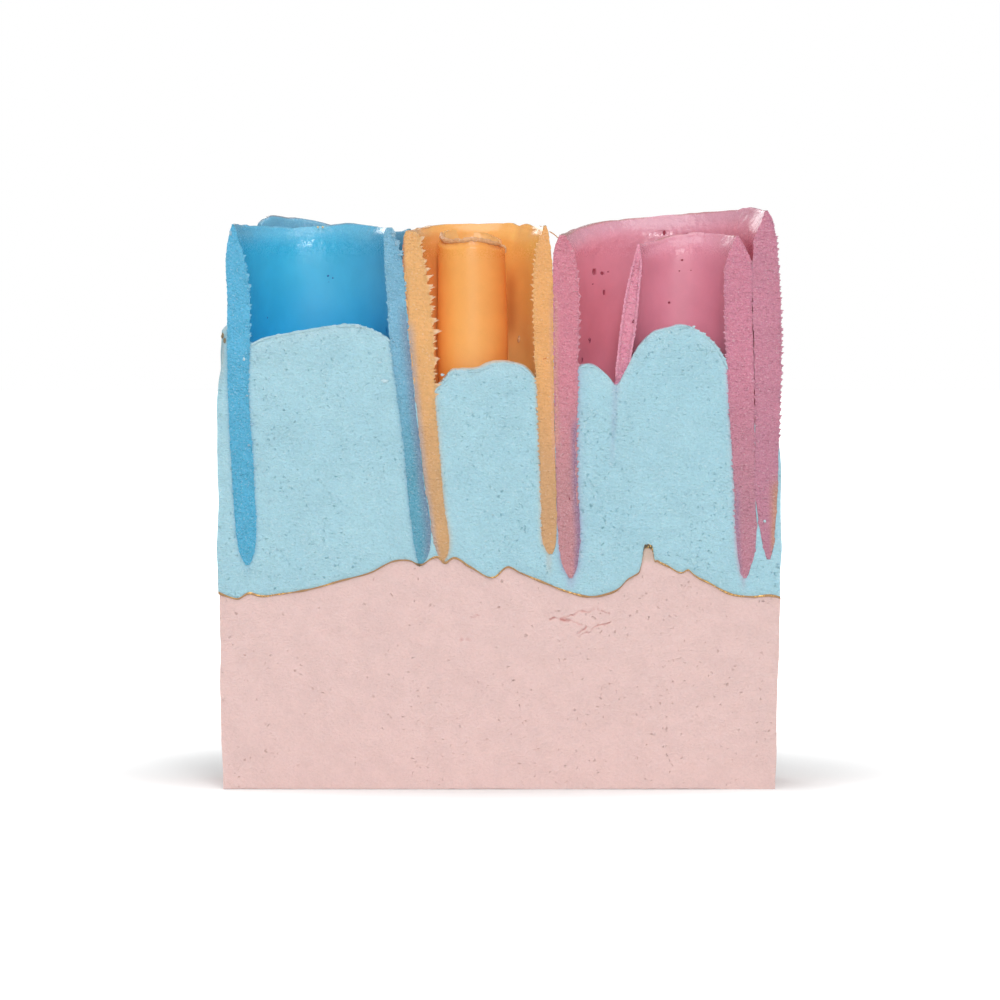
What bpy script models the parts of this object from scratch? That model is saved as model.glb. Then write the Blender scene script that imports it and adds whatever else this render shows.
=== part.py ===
"""A bar cut from a loaf of handmade soap, standing on its base.

A pink layer carries a thin line of gold mica and a light blue layer. Three rolled sheets of soap
(blue, orange and pink) were pushed into the blue layer before it set, and the knife that cut the bar
from the loaf passed through them, so each roll shows as upright walls around an open hollow.

Frame: metres, +Z up, origin at the middle of the resting face. The cut face with the open rolls
looks along -Y. Sizes below are in millimetres and are turned into metres where a mesh is made.
"""

import math

import bmesh
import bpy

MM = 0.001

# Driving dimensions of the bar, in millimetres.
MOULD_WIDTH = 80.0  # inside width of the loaf mould at its floor
MOULD_BULGE = 0.9  # how far each soft mould side swelled out
BULGE_HEIGHT = 45.0  # height at which the swelling is largest
BAR_THICKNESS = 25.0  # distance between the two knife cuts
POUR_LEVEL = 68.0  # top of the light blue layer outside the rolls
GAP = 0.3  # clearance between neighbouring solids

FRONT = -BAR_THICKNESS / 2
BACK = BAR_THICKNESS / 2
WIDEST = MOULD_WIDTH / 2 + MOULD_BULGE

# The pink layer's top: soft peaks over a level valley. Each peak is
# (centre x, height, reach to the left, reach to the right).
VALLEY = 27.9
PEAKS = (
    (-14.5, 4.6, 11.5, 6.0),
    (-7.0, 4.2, 4.5, 11.5),
    (1.4, 1.6, 1.0, 4.5),
    (21.6, 5.1, 3.4, 8.8),
)
# Marks that fade behind the front cut: two dents under sheet edges, and one thin spike.
FRONT_MARKS = ((-11.4, -0.8, 0.9, 0.9), (-7.9, -0.9, 0.8, 0.8), (21.55, 1.8, 1.1, 1.1))
MARK_FADE = 5.0
PEAK_DRIFT = 0.12  # how far the peaks wander along X for each millimetre of depth
MICA_THICKNESS = 0.35
MICA_CLEARANCE = 0.6  # from its middle up or down to the next layer, more than GAP where it is steep

# Heights at which a roll wall's left and right ends are placed.
FOOT_Z, MIDDLE_Z, RIM_Z = 33.0, 57.0, 81.0

# The walls that cross the front cut. left and right are the wall's middle line on the cut, at FOOT_Z,
# MIDDLE_Z and RIM_Z. reach is how far it goes back, and squareness is 2 for a half ellipse. foot and rim
# are the heights of its lower and upper edge: at the left end, at the right end, and the crown between.
WALLS = {
    "blue_roll_wall": {
        "left": (-36.5, -37.8, -38.3), "right": (-11.3, -13.45, -15.85),
        "reach": 13.5, "squareness": 2.2, "thickness": (3.2, 2.4),
        "foot": (32.6, 33.5, 1.6), "rim": (81.9, 81.1, -0.2), "turn": (-0.12, 1.12),
    },
    "orange_roll_wall": {
        "left": (-8.0, -10.7, -12.6), "right": (7.6, 6.75, 6.6),
        "reach": 13.2, "squareness": 2.4, "thickness": (2.4, 2.1),
        "foot": (33.6, 34.5, 1.6), "rim": (80.9, 81.6, 0.6), "turn": (-0.12, 1.12),
    },
    "pink_roll_wall": {
        "left": (10.6, 9.75, 9.6), "right": (39.0, 39.05, 39.0),
        "reach": 15.6, "squareness": 2.2, "thickness": (3.3, 3.5),
        "foot": (30.7, 33.5, 2.5), "rim": (80.5, 84.3, 0.4), "turn": (-0.12, 1.12),
    },
    "pink_roll_core": {
        "left": (16.0, 17.7, 20.3), "right": (35.3, 35.3, 34.5),
        "reach": 10.4, "squareness": 2.2, "thickness": (2.4, 3.2),
        "foot": (34.0, 31.0, 3.0), "rim": (79.0, 80.0, 0.5), "turn": (0.033, 1.12),
    },
    "blue_roll_outer_wrap": {
        "left": (-40.0, -40.0, -40.0), "right": (-10.0, -10.0, -10.0),
        "reach": 17.4, "squareness": 2.2, "thickness": (2.2, 2.2),
        "foot": (36.0, 36.0, 0.0), "rim": (82.9, 81.0, 0.0), "turn": (0.27, 0.78),
    },
}  # fmt: skip

# The loose curl inside the orange roll: a tube that doesn't quite close, with its slit at the back.
CORE_X = (-2.9, -3.6)  # its middle at the foot and at the rim
CORE_DEPTH = 6.3  # from the front cut to its middle
CORE_RADIUS = (2.7, 3.9)  # of the sheet's middle line, at the foot and at the rim
CORE_THICKNESS = 1.8
CORE_TURN = (math.radians(124), math.radians(444))
CORE_FOOT, CORE_RIM, CORE_RIM_SLOPE = 36.5, 79.6, -0.12

FOOT_TAPER, RIM_TAPER = 7.0, 6.0  # heights over which a wall thins to its two edges
THINNEST = 0.3  # share of the thickness left at an edge
RIM_LEAN = 0.3  # share of the thickness by which the rim's middle line moves outwards

# The blue soap that rose inside the rolls: (peak x, peak height, fall to the left, fall to the right),
# where a fall is (distance, drop over that distance).
RISES = {
    "blue": ((-21.9, 67.3, (14.5, 2.9), (6.3, 2.1)),),
    "orange": ((0.6, 61.8, (9.6, 3.0), (4.6, 2.0)),),
    "pink": (
        (12.9, 61.6, (1.4, 0.3), (4.1, 3.2)),
        (26.2, 67.3, (9.2, 8.6), (7.2, 6.4)),
    ),
}
RISE_DROP_BACK = 1.5  # how much lower the soap stands at a hollow's back

# The empty crack between the two pink strips on the right: its middle, width, reach and lowest point.
CRACK_X, CRACK_WIDTH, CRACK_REACH, CRACK_LOW = 36.8, 1.8, 7.5, 46.0

TURN_PER_MM = 0.03  # share of a wall's turn that 1 mm takes at its ends
ARC_STEPS, HEIGHT_STEPS = 16, 8
CLEAR = 8.0  # how far a cutter runs past what it cuts

PARTS = "layered_soap_bar"
CUTTERS = "cutters"

SOAPS = {
    "pink_base": ((0.80, 0.56, 0.53), 0.55),
    "gold_mica_line": ((0.60, 0.36, 0.10), 0.40),
    "light_blue_pour": ((0.40, 0.66, 0.75), 0.55),
    "blue": ((0.07, 0.36, 0.64), 0.35),
    "orange": ((0.84, 0.40, 0.09), 0.35),
    "pink": ((0.65, 0.19, 0.27), 0.35),
}


# ---------------------------------------------------------------- shapes as formulas


def half_width(z):
    """Half the bar's width at height z: it swells from the mould's floor and stays wide above."""
    rise = min(z / BULGE_HEIGHT, 1.0)
    return MOULD_WIDTH / 2 + MOULD_BULGE * math.sin(rise * math.pi / 2)


def hill(x, centre, height, left, right):
    """A smooth peak whose two sides have their own reach."""
    reach = left if x < centre else right
    return height * math.exp(-(((x - centre) / reach) ** 2))


def mica_height(x, y):
    """Height of the gold line's middle at a place in the bar."""
    depth = y - FRONT
    moved = x - PEAK_DRIFT * depth
    peaks = sum(hill(moved, *peak) for peak in PEAKS)
    marks = sum(hill(x, *mark) for mark in FRONT_MARKS)
    return VALLEY + peaks + marks * math.exp(-depth / MARK_FADE)


def pour_top(x, y):
    """Height of the light blue layer outside the rolls: level, and lower along the mould's sides."""
    ripple = 0.35 * math.sin(0.21 * x + 0.9) * math.cos(0.26 * y)
    shrink = 1.6 * math.exp(-max(WIDEST - abs(x), 0.0) / 1.6)
    return POUR_LEVEL + ripple - shrink


def rise_height(x, y, rises):
    """Height of the blue soap inside a roll, the highest of its rounded rises."""
    highest = 0.0
    for peak_x, peak_z, to_left, to_right in rises:
        distance, drop = to_left if x < peak_x else to_right
        fall = drop * (abs(x - peak_x) / distance) ** 2
        highest = max(highest, peak_z - fall)
    depth = y - FRONT
    return highest - RISE_DROP_BACK * (depth / BACK) ** 2


def through_three(values, z):
    """The parabola through values at FOOT_Z, MIDDLE_Z and RIM_Z, read at z."""
    step = MIDDLE_Z - FOOT_Z
    s = (z - MIDDLE_Z) / step
    low, middle, high = values
    return middle + s * (high - low) / 2 + s * s * (high + low - 2 * middle) / 2


def edge_height(edge, t):
    """Height of a wall's edge at share t of its way round."""
    left, right, crown = edge
    return left + (right - left) * t + crown * math.sin(math.pi * max(0.0, min(1.0, t)))


def rounded(value, squareness):
    """Sine or cosine turned into a superellipse's."""
    return math.copysign(abs(value) ** (2 / squareness), value)


def wall_plan(wall, t, z):
    """(x, y) of a wall's middle line at share t of its way round, at height z."""
    left = through_three(wall["left"], z)
    right = through_three(wall["right"], z)
    angle = math.pi * t
    x = (left + right) / 2 - (right - left) / 2 * rounded(math.cos(angle), wall["squareness"])
    y = FRONT + wall["reach"] * rounded(math.sin(angle), wall["squareness"])
    return x, y


def taper(z, foot, rim):
    """Share of the full thickness at height z: full in the middle, thin at the foot and the rim."""
    from_foot = min((z - foot) / FOOT_TAPER, 1.0)
    from_rim = min((rim - z) / RIM_TAPER, 1.0)
    foot_share = math.sin(max(from_foot, 0.0) * math.pi / 2)
    rim_share = math.sqrt(max(1 - (1 - from_rim) ** 2, 0.0))
    return max(THINNEST, min(foot_share, rim_share))


def spread_heights(foot, rim):
    """Heights from foot to rim, closer together where the wall thins."""
    count = HEIGHT_STEPS
    shares = [(1 - math.cos(math.pi * i / count)) / 2 for i in range(count + 1)]
    return [foot + (rim - foot) * share for share in shares]


# ---------------------------------------------------------------- Blender helpers


def clear_scene():
    for old in list(bpy.data.objects):
        bpy.data.objects.remove(old, do_unlink=True)


def new_collection(name):
    collection = bpy.data.collections.new(name)
    bpy.context.scene.collection.children.link(collection)
    return collection


def soap_material(name):
    """A Principled BSDF with this soap's colour and roughness, made once."""
    if name in bpy.data.materials:
        return bpy.data.materials[name]
    colour, roughness = SOAPS[name]
    made = bpy.data.materials.new(name)
    made.use_nodes = True
    shader = made.node_tree.nodes["Principled BSDF"]
    shader.inputs["Base Color"].default_value = (*colour, 1.0)
    shader.inputs["Roughness"].default_value = roughness
    shader.inputs["Metallic"].default_value = 0.0
    made.diffuse_color = (*colour, 1.0)
    return made


def add_object(name, mesh, soap=None):
    """Links a part, or a cutter when no soap is named, into its collection."""
    made = bpy.data.objects.new(name, mesh)
    if soap:
        mesh.materials.append(soap_material(soap))
        bpy.data.collections[PARTS].objects.link(made)
        return made
    made.hide_render = True
    made.display_type = "WIRE"
    bpy.data.collections[CUTTERS].objects.link(made)
    return made


def mesh_from(bm, name):
    mesh = bpy.data.meshes.new(name)
    bm.to_mesh(mesh)
    bm.free()
    return mesh


def cut(target, tool, operation="DIFFERENCE"):
    modifier = target.modifiers.new(f"{operation.lower()}_{tool.name}", "BOOLEAN")
    modifier.object = tool
    modifier.operation = operation


def slab(name, low, high, soap=None):
    """A slice of the loaf from height low to high: its outline across the bar, extruded between the cuts."""
    steps = 6
    heights = [low + (high - low) * i / steps for i in range(steps + 1)]
    outline = [(half_width(z), z) for z in heights]
    outline += [(-half_width(z), z) for z in reversed(heights)]
    curve = bpy.data.curves.new(name, "CURVE")
    curve.dimensions = "2D"
    curve.fill_mode = "BOTH"
    curve.extrude = BAR_THICKNESS / 2 * MM
    spline = curve.splines.new("POLY")
    spline.points.add(len(outline) - 1)
    for point, (x, z) in zip(spline.points, outline):
        point.co = (x * MM, z * MM, 0.0, 1.0)
    spline.use_cyclic_u = True
    flat = bpy.data.objects.new(f"{name}_outline", curve)
    bpy.context.scene.collection.objects.link(flat)
    flat.rotation_euler.x = math.pi / 2
    bpy.context.view_layer.update()
    graph = bpy.context.evaluated_depsgraph_get()
    mesh = bpy.data.meshes.new_from_object(flat.evaluated_get(graph))
    made = add_object(name, mesh, soap)
    made.matrix_world = flat.matrix_world
    bpy.data.objects.remove(flat)
    bm = bmesh.new()
    bm.from_mesh(mesh)
    bmesh.ops.remove_doubles(bm, verts=bm.verts, dist=0.01 * MM)
    bmesh.ops.recalc_face_normals(bm, faces=bm.faces)
    bm.to_mesh(mesh)
    bm.free()
    return made


def height_grid(height, columns, rows, half_x, front, back):
    """A grid over the bar whose vertices stand at height(x, y)."""
    bm = bmesh.new()
    bmesh.ops.create_grid(bm, x_segments=columns, y_segments=rows, size=1.0)
    for vertex in bm.verts:
        x = vertex.co.x * half_x
        y = front + (vertex.co.y + 1) / 2 * (back - front)
        vertex.co = (x * MM, y * MM, height(x, y) * MM)
    return bm


def block_from(bm, flat_z):
    """Closes an open surface into a block that ends flat at flat_z."""
    sheet_faces = list(bm.faces)
    extruded = bmesh.ops.extrude_face_region(bm, geom=sheet_faces, use_keep_orig=True)
    for item in extruded["geom"]:
        if isinstance(item, bmesh.types.BMVert):
            item.co.z = flat_z * MM
    bmesh.ops.recalc_face_normals(bm, faces=bm.faces)


def terrain_block(name, height, flat_z, columns, rows):
    """A cutter between a surface of heights and a flat end, wider than the bar on every side."""
    bm = height_grid(height, columns, rows, WIDEST + CLEAR, FRONT - CLEAR, BACK + CLEAR)
    block_from(bm, flat_z)
    return add_object(name, mesh_from(bm, name))


def open_sheet(name, point, share, arc, columns, soap, thickness, edges):
    """A curved wall: an open surface of point(t, z) between its foot and rim, thickened by Solidify.

    share(t, z) is the part of the thickness that the wall has there, and edges(t) gives its foot and rim."""
    rows = HEIGHT_STEPS
    bm = bmesh.new()
    bmesh.ops.create_grid(bm, x_segments=columns, y_segments=rows, size=1.0)
    shares = {}
    for vertex in bm.verts:
        across, up = (vertex.co.x + 1) / 2, (vertex.co.y + 1) / 2
        t = arc[0] + (arc[1] - arc[0]) * across
        z = spread_heights(*edges(t))[round(up * rows)]
        x, y = point(t, z)
        shares[vertex.index] = share(t, z)
        vertex.co = (x * MM, y * MM, z * MM)
    made = add_object(name, mesh_from(bm, name), soap)
    group = made.vertex_groups.new(name="thickness")
    for index, weight in shares.items():
        group.add([index], weight, "REPLACE")
    solid = made.modifiers.new("thickness", "SOLIDIFY")
    solid.thickness = thickness * MM
    solid.offset = 0.0
    solid.vertex_group = group.name
    made.data.shade_smooth()
    return made


# ---------------------------------------------------------------- the rolls


def roll_wall(name, wall, soap=None, grow=0.0, rise=0.0):
    """One wall of a roll. grow thickens it on every side, and rise lifts its rim, for a cutter."""
    left_thickness, right_thickness = wall["thickness"]
    thickest = max(wall["thickness"])
    full = thickest + 2 * grow

    def edges(t):
        return edge_height(wall["foot"], t) - grow, edge_height(wall["rim"], t) + rise

    def own_share(t, z):
        here = left_thickness + (right_thickness - left_thickness) * max(0.0, min(1.0, t))
        foot, rim = edge_height(wall["foot"], t), edge_height(wall["rim"], t)
        tapered = taper(max(z, foot), foot, rim + rise)
        return here * tapered, z > (foot + rim) / 2, tapered

    def share(t, z):
        return (own_share(t, z)[0] + 2 * grow) / full

    def point(t, z):
        x, y = wall_plan(wall, t, z)
        _, upper, tapered = own_share(t, z)
        if not upper:
            return x, y
        middle_x, middle_y = wall_plan(wall, 0.5, z)[0], FRONT
        lean = RIM_LEAN * thickest * (1 - tapered)
        away = math.hypot(x - middle_x, y - middle_y)
        return x + lean * (x - middle_x) / away, y + lean * max(y - middle_y, 0.0) / away

    start, end = wall["turn"]
    arc = (start - grow * TURN_PER_MM, end + grow * TURN_PER_MM)
    return open_sheet(name, point, share, arc, ARC_STEPS, soap, full, edges)


def orange_core(name, soap=None, grow=0.0, rise=0.0):
    """The loose curl inside the orange roll."""
    full = CORE_THICKNESS + 2 * grow

    def along(z):
        return (z - CORE_FOOT) / (CORE_RIM - CORE_FOOT)

    def edges(angle):
        x = CORE_RADIUS[1] * math.cos(angle)
        return CORE_FOOT - grow, CORE_RIM + CORE_RIM_SLOPE * x + rise

    def share(angle, z):
        foot, rim = edges(angle)
        return (CORE_THICKNESS * taper(z, foot, rim) + 2 * grow) / full

    def point(angle, z):
        middle = CORE_X[0] + (CORE_X[1] - CORE_X[0]) * along(z)
        radius = CORE_RADIUS[0] + (CORE_RADIUS[1] - CORE_RADIUS[0]) * along(z)
        return middle + radius * math.cos(angle), FRONT + CORE_DEPTH + radius * math.sin(angle)

    extra = grow / CORE_RADIUS[0]
    arc = (CORE_TURN[0] - extra, CORE_TURN[1] + extra)
    return open_sheet(name, point, share, arc, ARC_STEPS, soap, full, edges)


def hollow(name, wall, rises):
    """A cutter for the empty space in a roll above the blue soap that rose in it."""
    columns, rows = 12, 6
    bm = bmesh.new()
    bmesh.ops.create_grid(bm, x_segments=columns, y_segments=rows, size=1.0)
    for vertex in bm.verts:
        across, back = vertex.co.x, (vertex.co.y + 1) / 2
        depth = -CLEAR + (wall["reach"] * 0.985 + CLEAR) * back
        level = rise_height(0.0, FRONT, rises)
        left = through_three(wall["left"], level)
        right = through_three(wall["right"], level)
        ratio = max(depth, 0.0) / wall["reach"]
        chord = (1 - ratio ** wall["squareness"]) ** (1 / wall["squareness"])
        x = (left + right) / 2 + across * chord * (right - left) / 2
        y = FRONT + depth
        vertex.co = (x * MM, y * MM, rise_height(x, max(y, FRONT), rises) * MM)
    block_from(bm, RIM_Z + CLEAR)
    return add_object(name, mesh_from(bm, name))


# ---------------------------------------------------------------- the layers


def box_cutter(name, low, high):
    """A box between two corners."""
    bm = bmesh.new()
    bmesh.ops.create_cube(bm, size=1.0)
    for vertex in bm.verts:
        corner = (high[i] if vertex.co[i] > 0 else low[i] for i in range(3))
        vertex.co = [value * MM for value in corner]
    return add_object(name, mesh_from(bm, name))


def knife():
    """The soap in front of the bar that the knife took away."""
    side, top = WIDEST + CLEAR, RIM_Z + 2 * CLEAR
    return box_cutter("knife", (-side, FRONT - BAR_THICKNESS, 0.0), (side, FRONT, top))


def crack():
    """The air between the two pink strips on the right."""
    half = CRACK_WIDTH / 2
    low = (CRACK_X - half, FRONT - CLEAR, CRACK_LOW)
    return box_cutter("crack", low, (CRACK_X + half, FRONT + CRACK_REACH, RIM_Z + CLEAR))


def build_layers():
    """The pink base, the gold line and the light blue pour, each a slice of the loaf."""
    base_reach, mica_columns, mica_rows = 40.0, 80, 6

    def base_top(x, y):
        return mica_height(x, y) - MICA_CLEARANCE

    def pour_floor(x, y):
        return mica_height(x, y) + MICA_CLEARANCE

    base = slab("pink_base", 0.0, base_reach, "pink_base")
    above_base = terrain_block("above_base", base_top, POUR_LEVEL, mica_columns, mica_rows)
    cut(base, above_base)

    bm = height_grid(mica_height, mica_columns, mica_rows, WIDEST + CLEAR, FRONT - CLEAR, BACK + CLEAR)
    mica = add_object("gold_mica_line", mesh_from(bm, "gold_mica_line"), "gold_mica_line")
    solid = mica.modifiers.new("thickness", "SOLIDIFY")
    solid.thickness = MICA_THICKNESS * MM
    solid.offset = 0.0
    loaf = slab("loaf_slice", VALLEY - CLEAR, base_reach)
    cut(mica, loaf, "INTERSECT")

    pour = slab("light_blue_pour", VALLEY - CLEAR, POUR_LEVEL + CLEAR, "light_blue_pour")
    cut(pour, terrain_block("below_pour", pour_floor, 0.0, mica_columns, mica_rows))
    cut(pour, terrain_block("above_pour", pour_top, RIM_Z + CLEAR, 16, 5))
    return pour


def main():
    clear_scene()
    new_collection(PARTS)
    new_collection(CUTTERS)
    front_cut = knife()
    pour = build_layers()
    for colour, rises in RISES.items():
        cut(pour, hollow(f"{colour}_hollow", WALLS[f"{colour}_roll_wall"], rises))
    for name, wall in WALLS.items():
        soap = name.split("_")[0]
        cut(roll_wall(name, wall, soap), front_cut)
        cut(pour, roll_wall(f"{name}_slot", wall, grow=GAP, rise=CLEAR))
    orange_core("orange_roll_core", "orange")
    cut(pour, orange_core("orange_roll_core_slot", grow=GAP, rise=CLEAR))
    cut(pour, crack())


main()
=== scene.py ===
# %% [markdown]
# # A bar of layered handmade soap
#
# The bar was cut from a loaf with a knife. It has a pale pink layer, a thin line of gold mica, a light
# blue layer, and three rolled sheets of soap that stand upright in the blue. The knife went through the
# rolls, so their walls show as strips on the cut face, with open hollows between them.
#
# The frame gives every size and place. Each solid of the frame is then replaced by a finer one, worked
# out from formulas with numpy, and each soap gets its own material.

# %% Load the frame
import itertools
import math

import bmesh
import bpy
import numpy as np
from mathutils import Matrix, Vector


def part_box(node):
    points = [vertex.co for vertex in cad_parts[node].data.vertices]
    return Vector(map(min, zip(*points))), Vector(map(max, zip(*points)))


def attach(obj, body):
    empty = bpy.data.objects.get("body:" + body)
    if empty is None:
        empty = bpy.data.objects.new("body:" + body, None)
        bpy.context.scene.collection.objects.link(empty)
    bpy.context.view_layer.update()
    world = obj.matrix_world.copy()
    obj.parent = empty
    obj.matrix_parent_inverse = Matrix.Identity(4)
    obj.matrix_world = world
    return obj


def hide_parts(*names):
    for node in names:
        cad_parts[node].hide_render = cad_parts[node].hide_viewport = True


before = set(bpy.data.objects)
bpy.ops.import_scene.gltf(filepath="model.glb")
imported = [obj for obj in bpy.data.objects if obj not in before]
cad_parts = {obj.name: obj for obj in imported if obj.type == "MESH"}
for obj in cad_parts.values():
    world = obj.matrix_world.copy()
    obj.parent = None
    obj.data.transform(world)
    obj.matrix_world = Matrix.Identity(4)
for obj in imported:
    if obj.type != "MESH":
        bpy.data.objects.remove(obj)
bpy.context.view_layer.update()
MM = 0.001
print("nodes:", ", ".join(sorted(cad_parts)))

# %% [markdown]
# ## Numbers that the whole bar shares
#
# The two knife cuts are planes across Y, and the mould's soft sides swell outwards as they rise. These
# come from the frame's boxes, in millimetres, so the fine surfaces lie where the solids do.

# %% Places taken from the frame


def box_mm(node):
    """A node's lowest and highest corners, in millimetres."""
    low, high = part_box(node)
    return np.array(low) / MM, np.array(high) / MM


pour_low, pour_high = box_mm("light_blue_pour")
FRONT, BACK = pour_low[1], pour_high[1]
HALF_FLOOR = 40.0  # half the bar's width where it rests
HALF_WIDEST = pour_high[0]
POUR_LEVEL = pour_high[2]
print(f"cuts at y {FRONT:.1f} and {BACK:.1f} mm, half width {HALF_WIDEST:.1f}, pour to {POUR_LEVEL:.1f}")

# %% [markdown]
# ## Tools for fine surfaces
#
# Soap is never quite smooth. Noise gives the small dents: random numbers sit on the corners of a lattice
# and are blended in between. Every random number comes from a fixed seed, so each run gives the same bar.

# %% Noise


def corner_values(i, j, k, seed):
    """A repeatable number from -1 to 1 for each lattice corner, made by multiplying and mixing its bits."""
    mixed = (i * 374761393 + j * 668265263 + k * 1442695041 + seed * 974634777) & 0xFFFFFFFF
    mixed = ((mixed ^ (mixed >> 13)) * 1274126177) & 0xFFFFFFFF
    return (mixed ^ (mixed >> 16)) / 0x7FFFFFFF - 1


def noise(place, size, seed):
    """Smooth noise from -1 to 1: lattice values this size apart, blended by 3f² - 2f³ along each axis."""
    scaled = place / size
    low = np.floor(scaled).astype(np.int64)
    part = scaled - low
    part = part * part * (3 - 2 * part)
    total = np.zeros(len(place))
    for corner in itertools.product((0, 1), repeat=3):
        weight = np.where(corner, part, 1 - part).prod(axis=1)
        total += weight * corner_values(*(low + corner).T, seed)
    return total


def rough(place, size, seed, octaves=3):
    """Noise of several sizes added up, each half as large and half as strong as the one before."""
    return sum(noise(place, size / 2**n, seed + n) / 2**n for n in range(octaves))


def smooth_step(value, start, end):
    """0 before start, 1 after end, and 3f² - 2f³ between them."""
    part = np.clip((value - start) / (end - start), 0, 1)
    return part * part * (3 - 2 * part)


def smooth_through(at, points):
    """A smooth curve through (place, value) points, read at each number in at.

    Between two points it is a cubic whose slope at each point is the mean slope there, and past the
    first and last points it stays level."""
    knots, values = np.array(points, float).T
    slopes = np.gradient(values, knots)
    at = np.clip(at, knots[0], knots[-1])
    i = np.clip(np.searchsorted(knots, at) - 1, 0, len(knots) - 2)
    width = knots[i + 1] - knots[i]
    f = (at - knots[i]) / width
    from_low = (1 + 2 * f) * (1 - f) ** 2 * values[i] + f * (1 - f) ** 2 * width * slopes[i]
    from_high = f * f * (3 - 2 * f) * values[i + 1] - f * f * (1 - f) * width * slopes[i + 1]
    return from_low + from_high


# %% [markdown]
# Most pieces here are bent blocks: a box of cells whose three numbers (a, b, c) are turned into a place
# by a formula. Only the box's six sides are needed. Corners that two sides share are one vertex, so the
# surface is closed from the start and nothing has to be merged.

# %% Bent blocks


def block_sides(a, b, c):
    """The surface of a block over the values a, b and c: its corners' values, its quads and their sides.

    Side 2n is where number n has its first value, and side 2n + 1 where it has its last."""
    counts = (len(a), len(b), len(c))
    ids = np.arange(math.prod(counts)).reshape(counts)
    quads, sides = [], []
    for axis, end in itertools.product(range(3), (0, 1)):
        sheet = np.take(ids, -end, axis=axis)
        corners = (sheet[:-1, :-1], sheet[1:, :-1], sheet[1:, 1:], sheet[:-1, 1:])
        four = np.stack(corners, axis=-1).reshape(-1, 4)
        quads.append(four if (end == 1) != (axis == 1) else four[:, ::-1])
        sides.append(np.full(len(four), 2 * axis + end))
    used, faces = np.unique(np.concatenate(quads), return_inverse=True)
    i, j, k = np.unravel_index(used, counts)
    return (a[i], b[j], c[k]), faces.reshape(-1, 4), np.concatenate(sides)


def signed_volume(points, faces):
    """A closed surface's volume: the sum of its triangles' corner · (corner x corner), over six.

    It comes out negative when the faces point inwards."""
    a, b, c, d = (points[faces[:, n]] for n in range(4))
    return sum((p * np.cross(q, r)).sum() for p, q, r in ((a, b, c), (a, c, d))) / 6


def outward(points, faces):
    """The same closed surface with its faces turned outwards."""
    return points, faces[:, ::-1] if signed_volume(points, faces) < 0 else faces


def joined(surfaces):
    """Several (points, faces) surfaces as one, each turned outwards, with the later faces counted on."""
    surfaces = [outward(*surface) for surface in surfaces]
    starts = np.cumsum([0] + [len(points) for points, _ in surfaces[:-1]])
    faces = [faces + start for (_, faces), start in zip(surfaces, starts)]
    return np.concatenate([points for points, _ in surfaces]), np.concatenate(faces)


def mesh_from(name, points, faces):
    """A mesh with these points, in millimetres, and quads, turned so that its faces point outwards."""
    points, faces = outward(points, faces)
    mesh = bpy.data.meshes.new(name)
    mesh.vertices.add(len(points))
    mesh.vertices.foreach_set("co", (points * MM).astype(np.float32).ravel())
    mesh.loops.add(faces.size)
    mesh.loops.foreach_set("vertex_index", faces.astype(np.int32).ravel())
    mesh.polygons.add(len(faces))
    mesh.polygons.foreach_set("loop_start", np.arange(0, faces.size, faces.shape[1], dtype=np.int32))
    mesh.update(calc_edges=True)
    mesh.validate()
    return mesh


def smooth_shaded(mesh, sharp_above):
    """Shades a mesh smooth, with hard edges where it bends by more than this many degrees."""
    mesh.shade_smooth()
    mesh.set_sharp_from_angle(angle=math.radians(sharp_above))


def points_of(mesh):
    """A mesh's vertices in millimetres, as rows."""
    flat = np.empty(len(mesh.vertices) * 3, np.float32)
    mesh.vertices.foreach_get("co", flat)
    return flat.reshape(-1, 3).astype(float) / MM


def put_object(name, mesh):
    """Links a mesh into the scene as an object at the origin."""
    made = bpy.data.objects.new(name, mesh)
    bpy.context.scene.collection.objects.link(made)
    return made


def spread(low, high, step):
    """Values from low to high, about one step apart."""
    return np.linspace(low, high, max(round(abs(high - low) / step), 1) + 1)


# %% [markdown]
# ## Colour
#
# Each vertex carries its own colour, worked out from where it lies: the soap's colour, the smears
# that the knife left where two soaps meet, and in places painted light and shade. The material multiplies
# that by a fine grain.

# %% Colours


def linear(red, green, blue):
    """A colour given as 0 to 255 screen values, as the linear light values that shaders use."""
    screen = np.array([red, green, blue]) / 255
    return np.where(screen < 0.04045, screen / 12.92, ((screen + 0.055) / 1.055) ** 2.4)


def blend(first, second, share):
    """The first colour where share is 0, turning into the second where it is 1."""
    share = np.clip(share, 0, 1)[:, None]
    return first * (1 - share) + second * share


def set_tint(mesh, colours):
    """Stores one colour for each vertex as the attribute tint, in place of any it has."""
    if "tint" in mesh.attributes:
        mesh.attributes.remove(mesh.attributes["tint"])
    layer = mesh.attributes.new("tint", "FLOAT_COLOR", "POINT")
    rows = np.column_stack([np.clip(colours, 0, 1), np.ones(len(colours))])
    layer.data.foreach_set("color", rows.astype(np.float32).ravel())


def tints_of(mesh):
    """The colours that set_tint stored."""
    flat = np.empty(len(mesh.vertices) * 4, np.float32)
    mesh.attributes["tint"].data.foreach_get("color", flat)
    return flat.reshape(-1, 4)[:, :3].astype(float)


# Painted shade: the base's deep colour darkens the tear's creases, and the base's third colour and the pour's
# last one darken the pits of those soaps.
BASE_PINK, BASE_DEEP, BASE_PIT_SHADE = linear(229, 197, 192), linear(200, 125, 118), linear(222, 186, 180)
POUR_BLUE, POUR_PALE = linear(170, 213, 225), linear(198, 226, 233)
POUR_TEAL, POUR_PIT_SHADE = linear(85, 160, 190), linear(142, 198, 215)
GOLD, BRIGHT_GOLD, OLIVE = linear(182, 140, 98), linear(238, 190, 110), linear(98, 88, 68)
# Painted shade: these deep colours darken the sheets' pits, and the orange one darkens the curl's sides and
# its lower part.
BLUE_DEEP, ORANGE_DEEP, PINK_DEEP = linear(30, 115, 175), linear(220, 90, 35), linear(150, 55, 80)
PURPLE, BROWN, PALE_LIP = linear(160, 135, 180), linear(160, 115, 85), linear(218, 164, 116)

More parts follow.
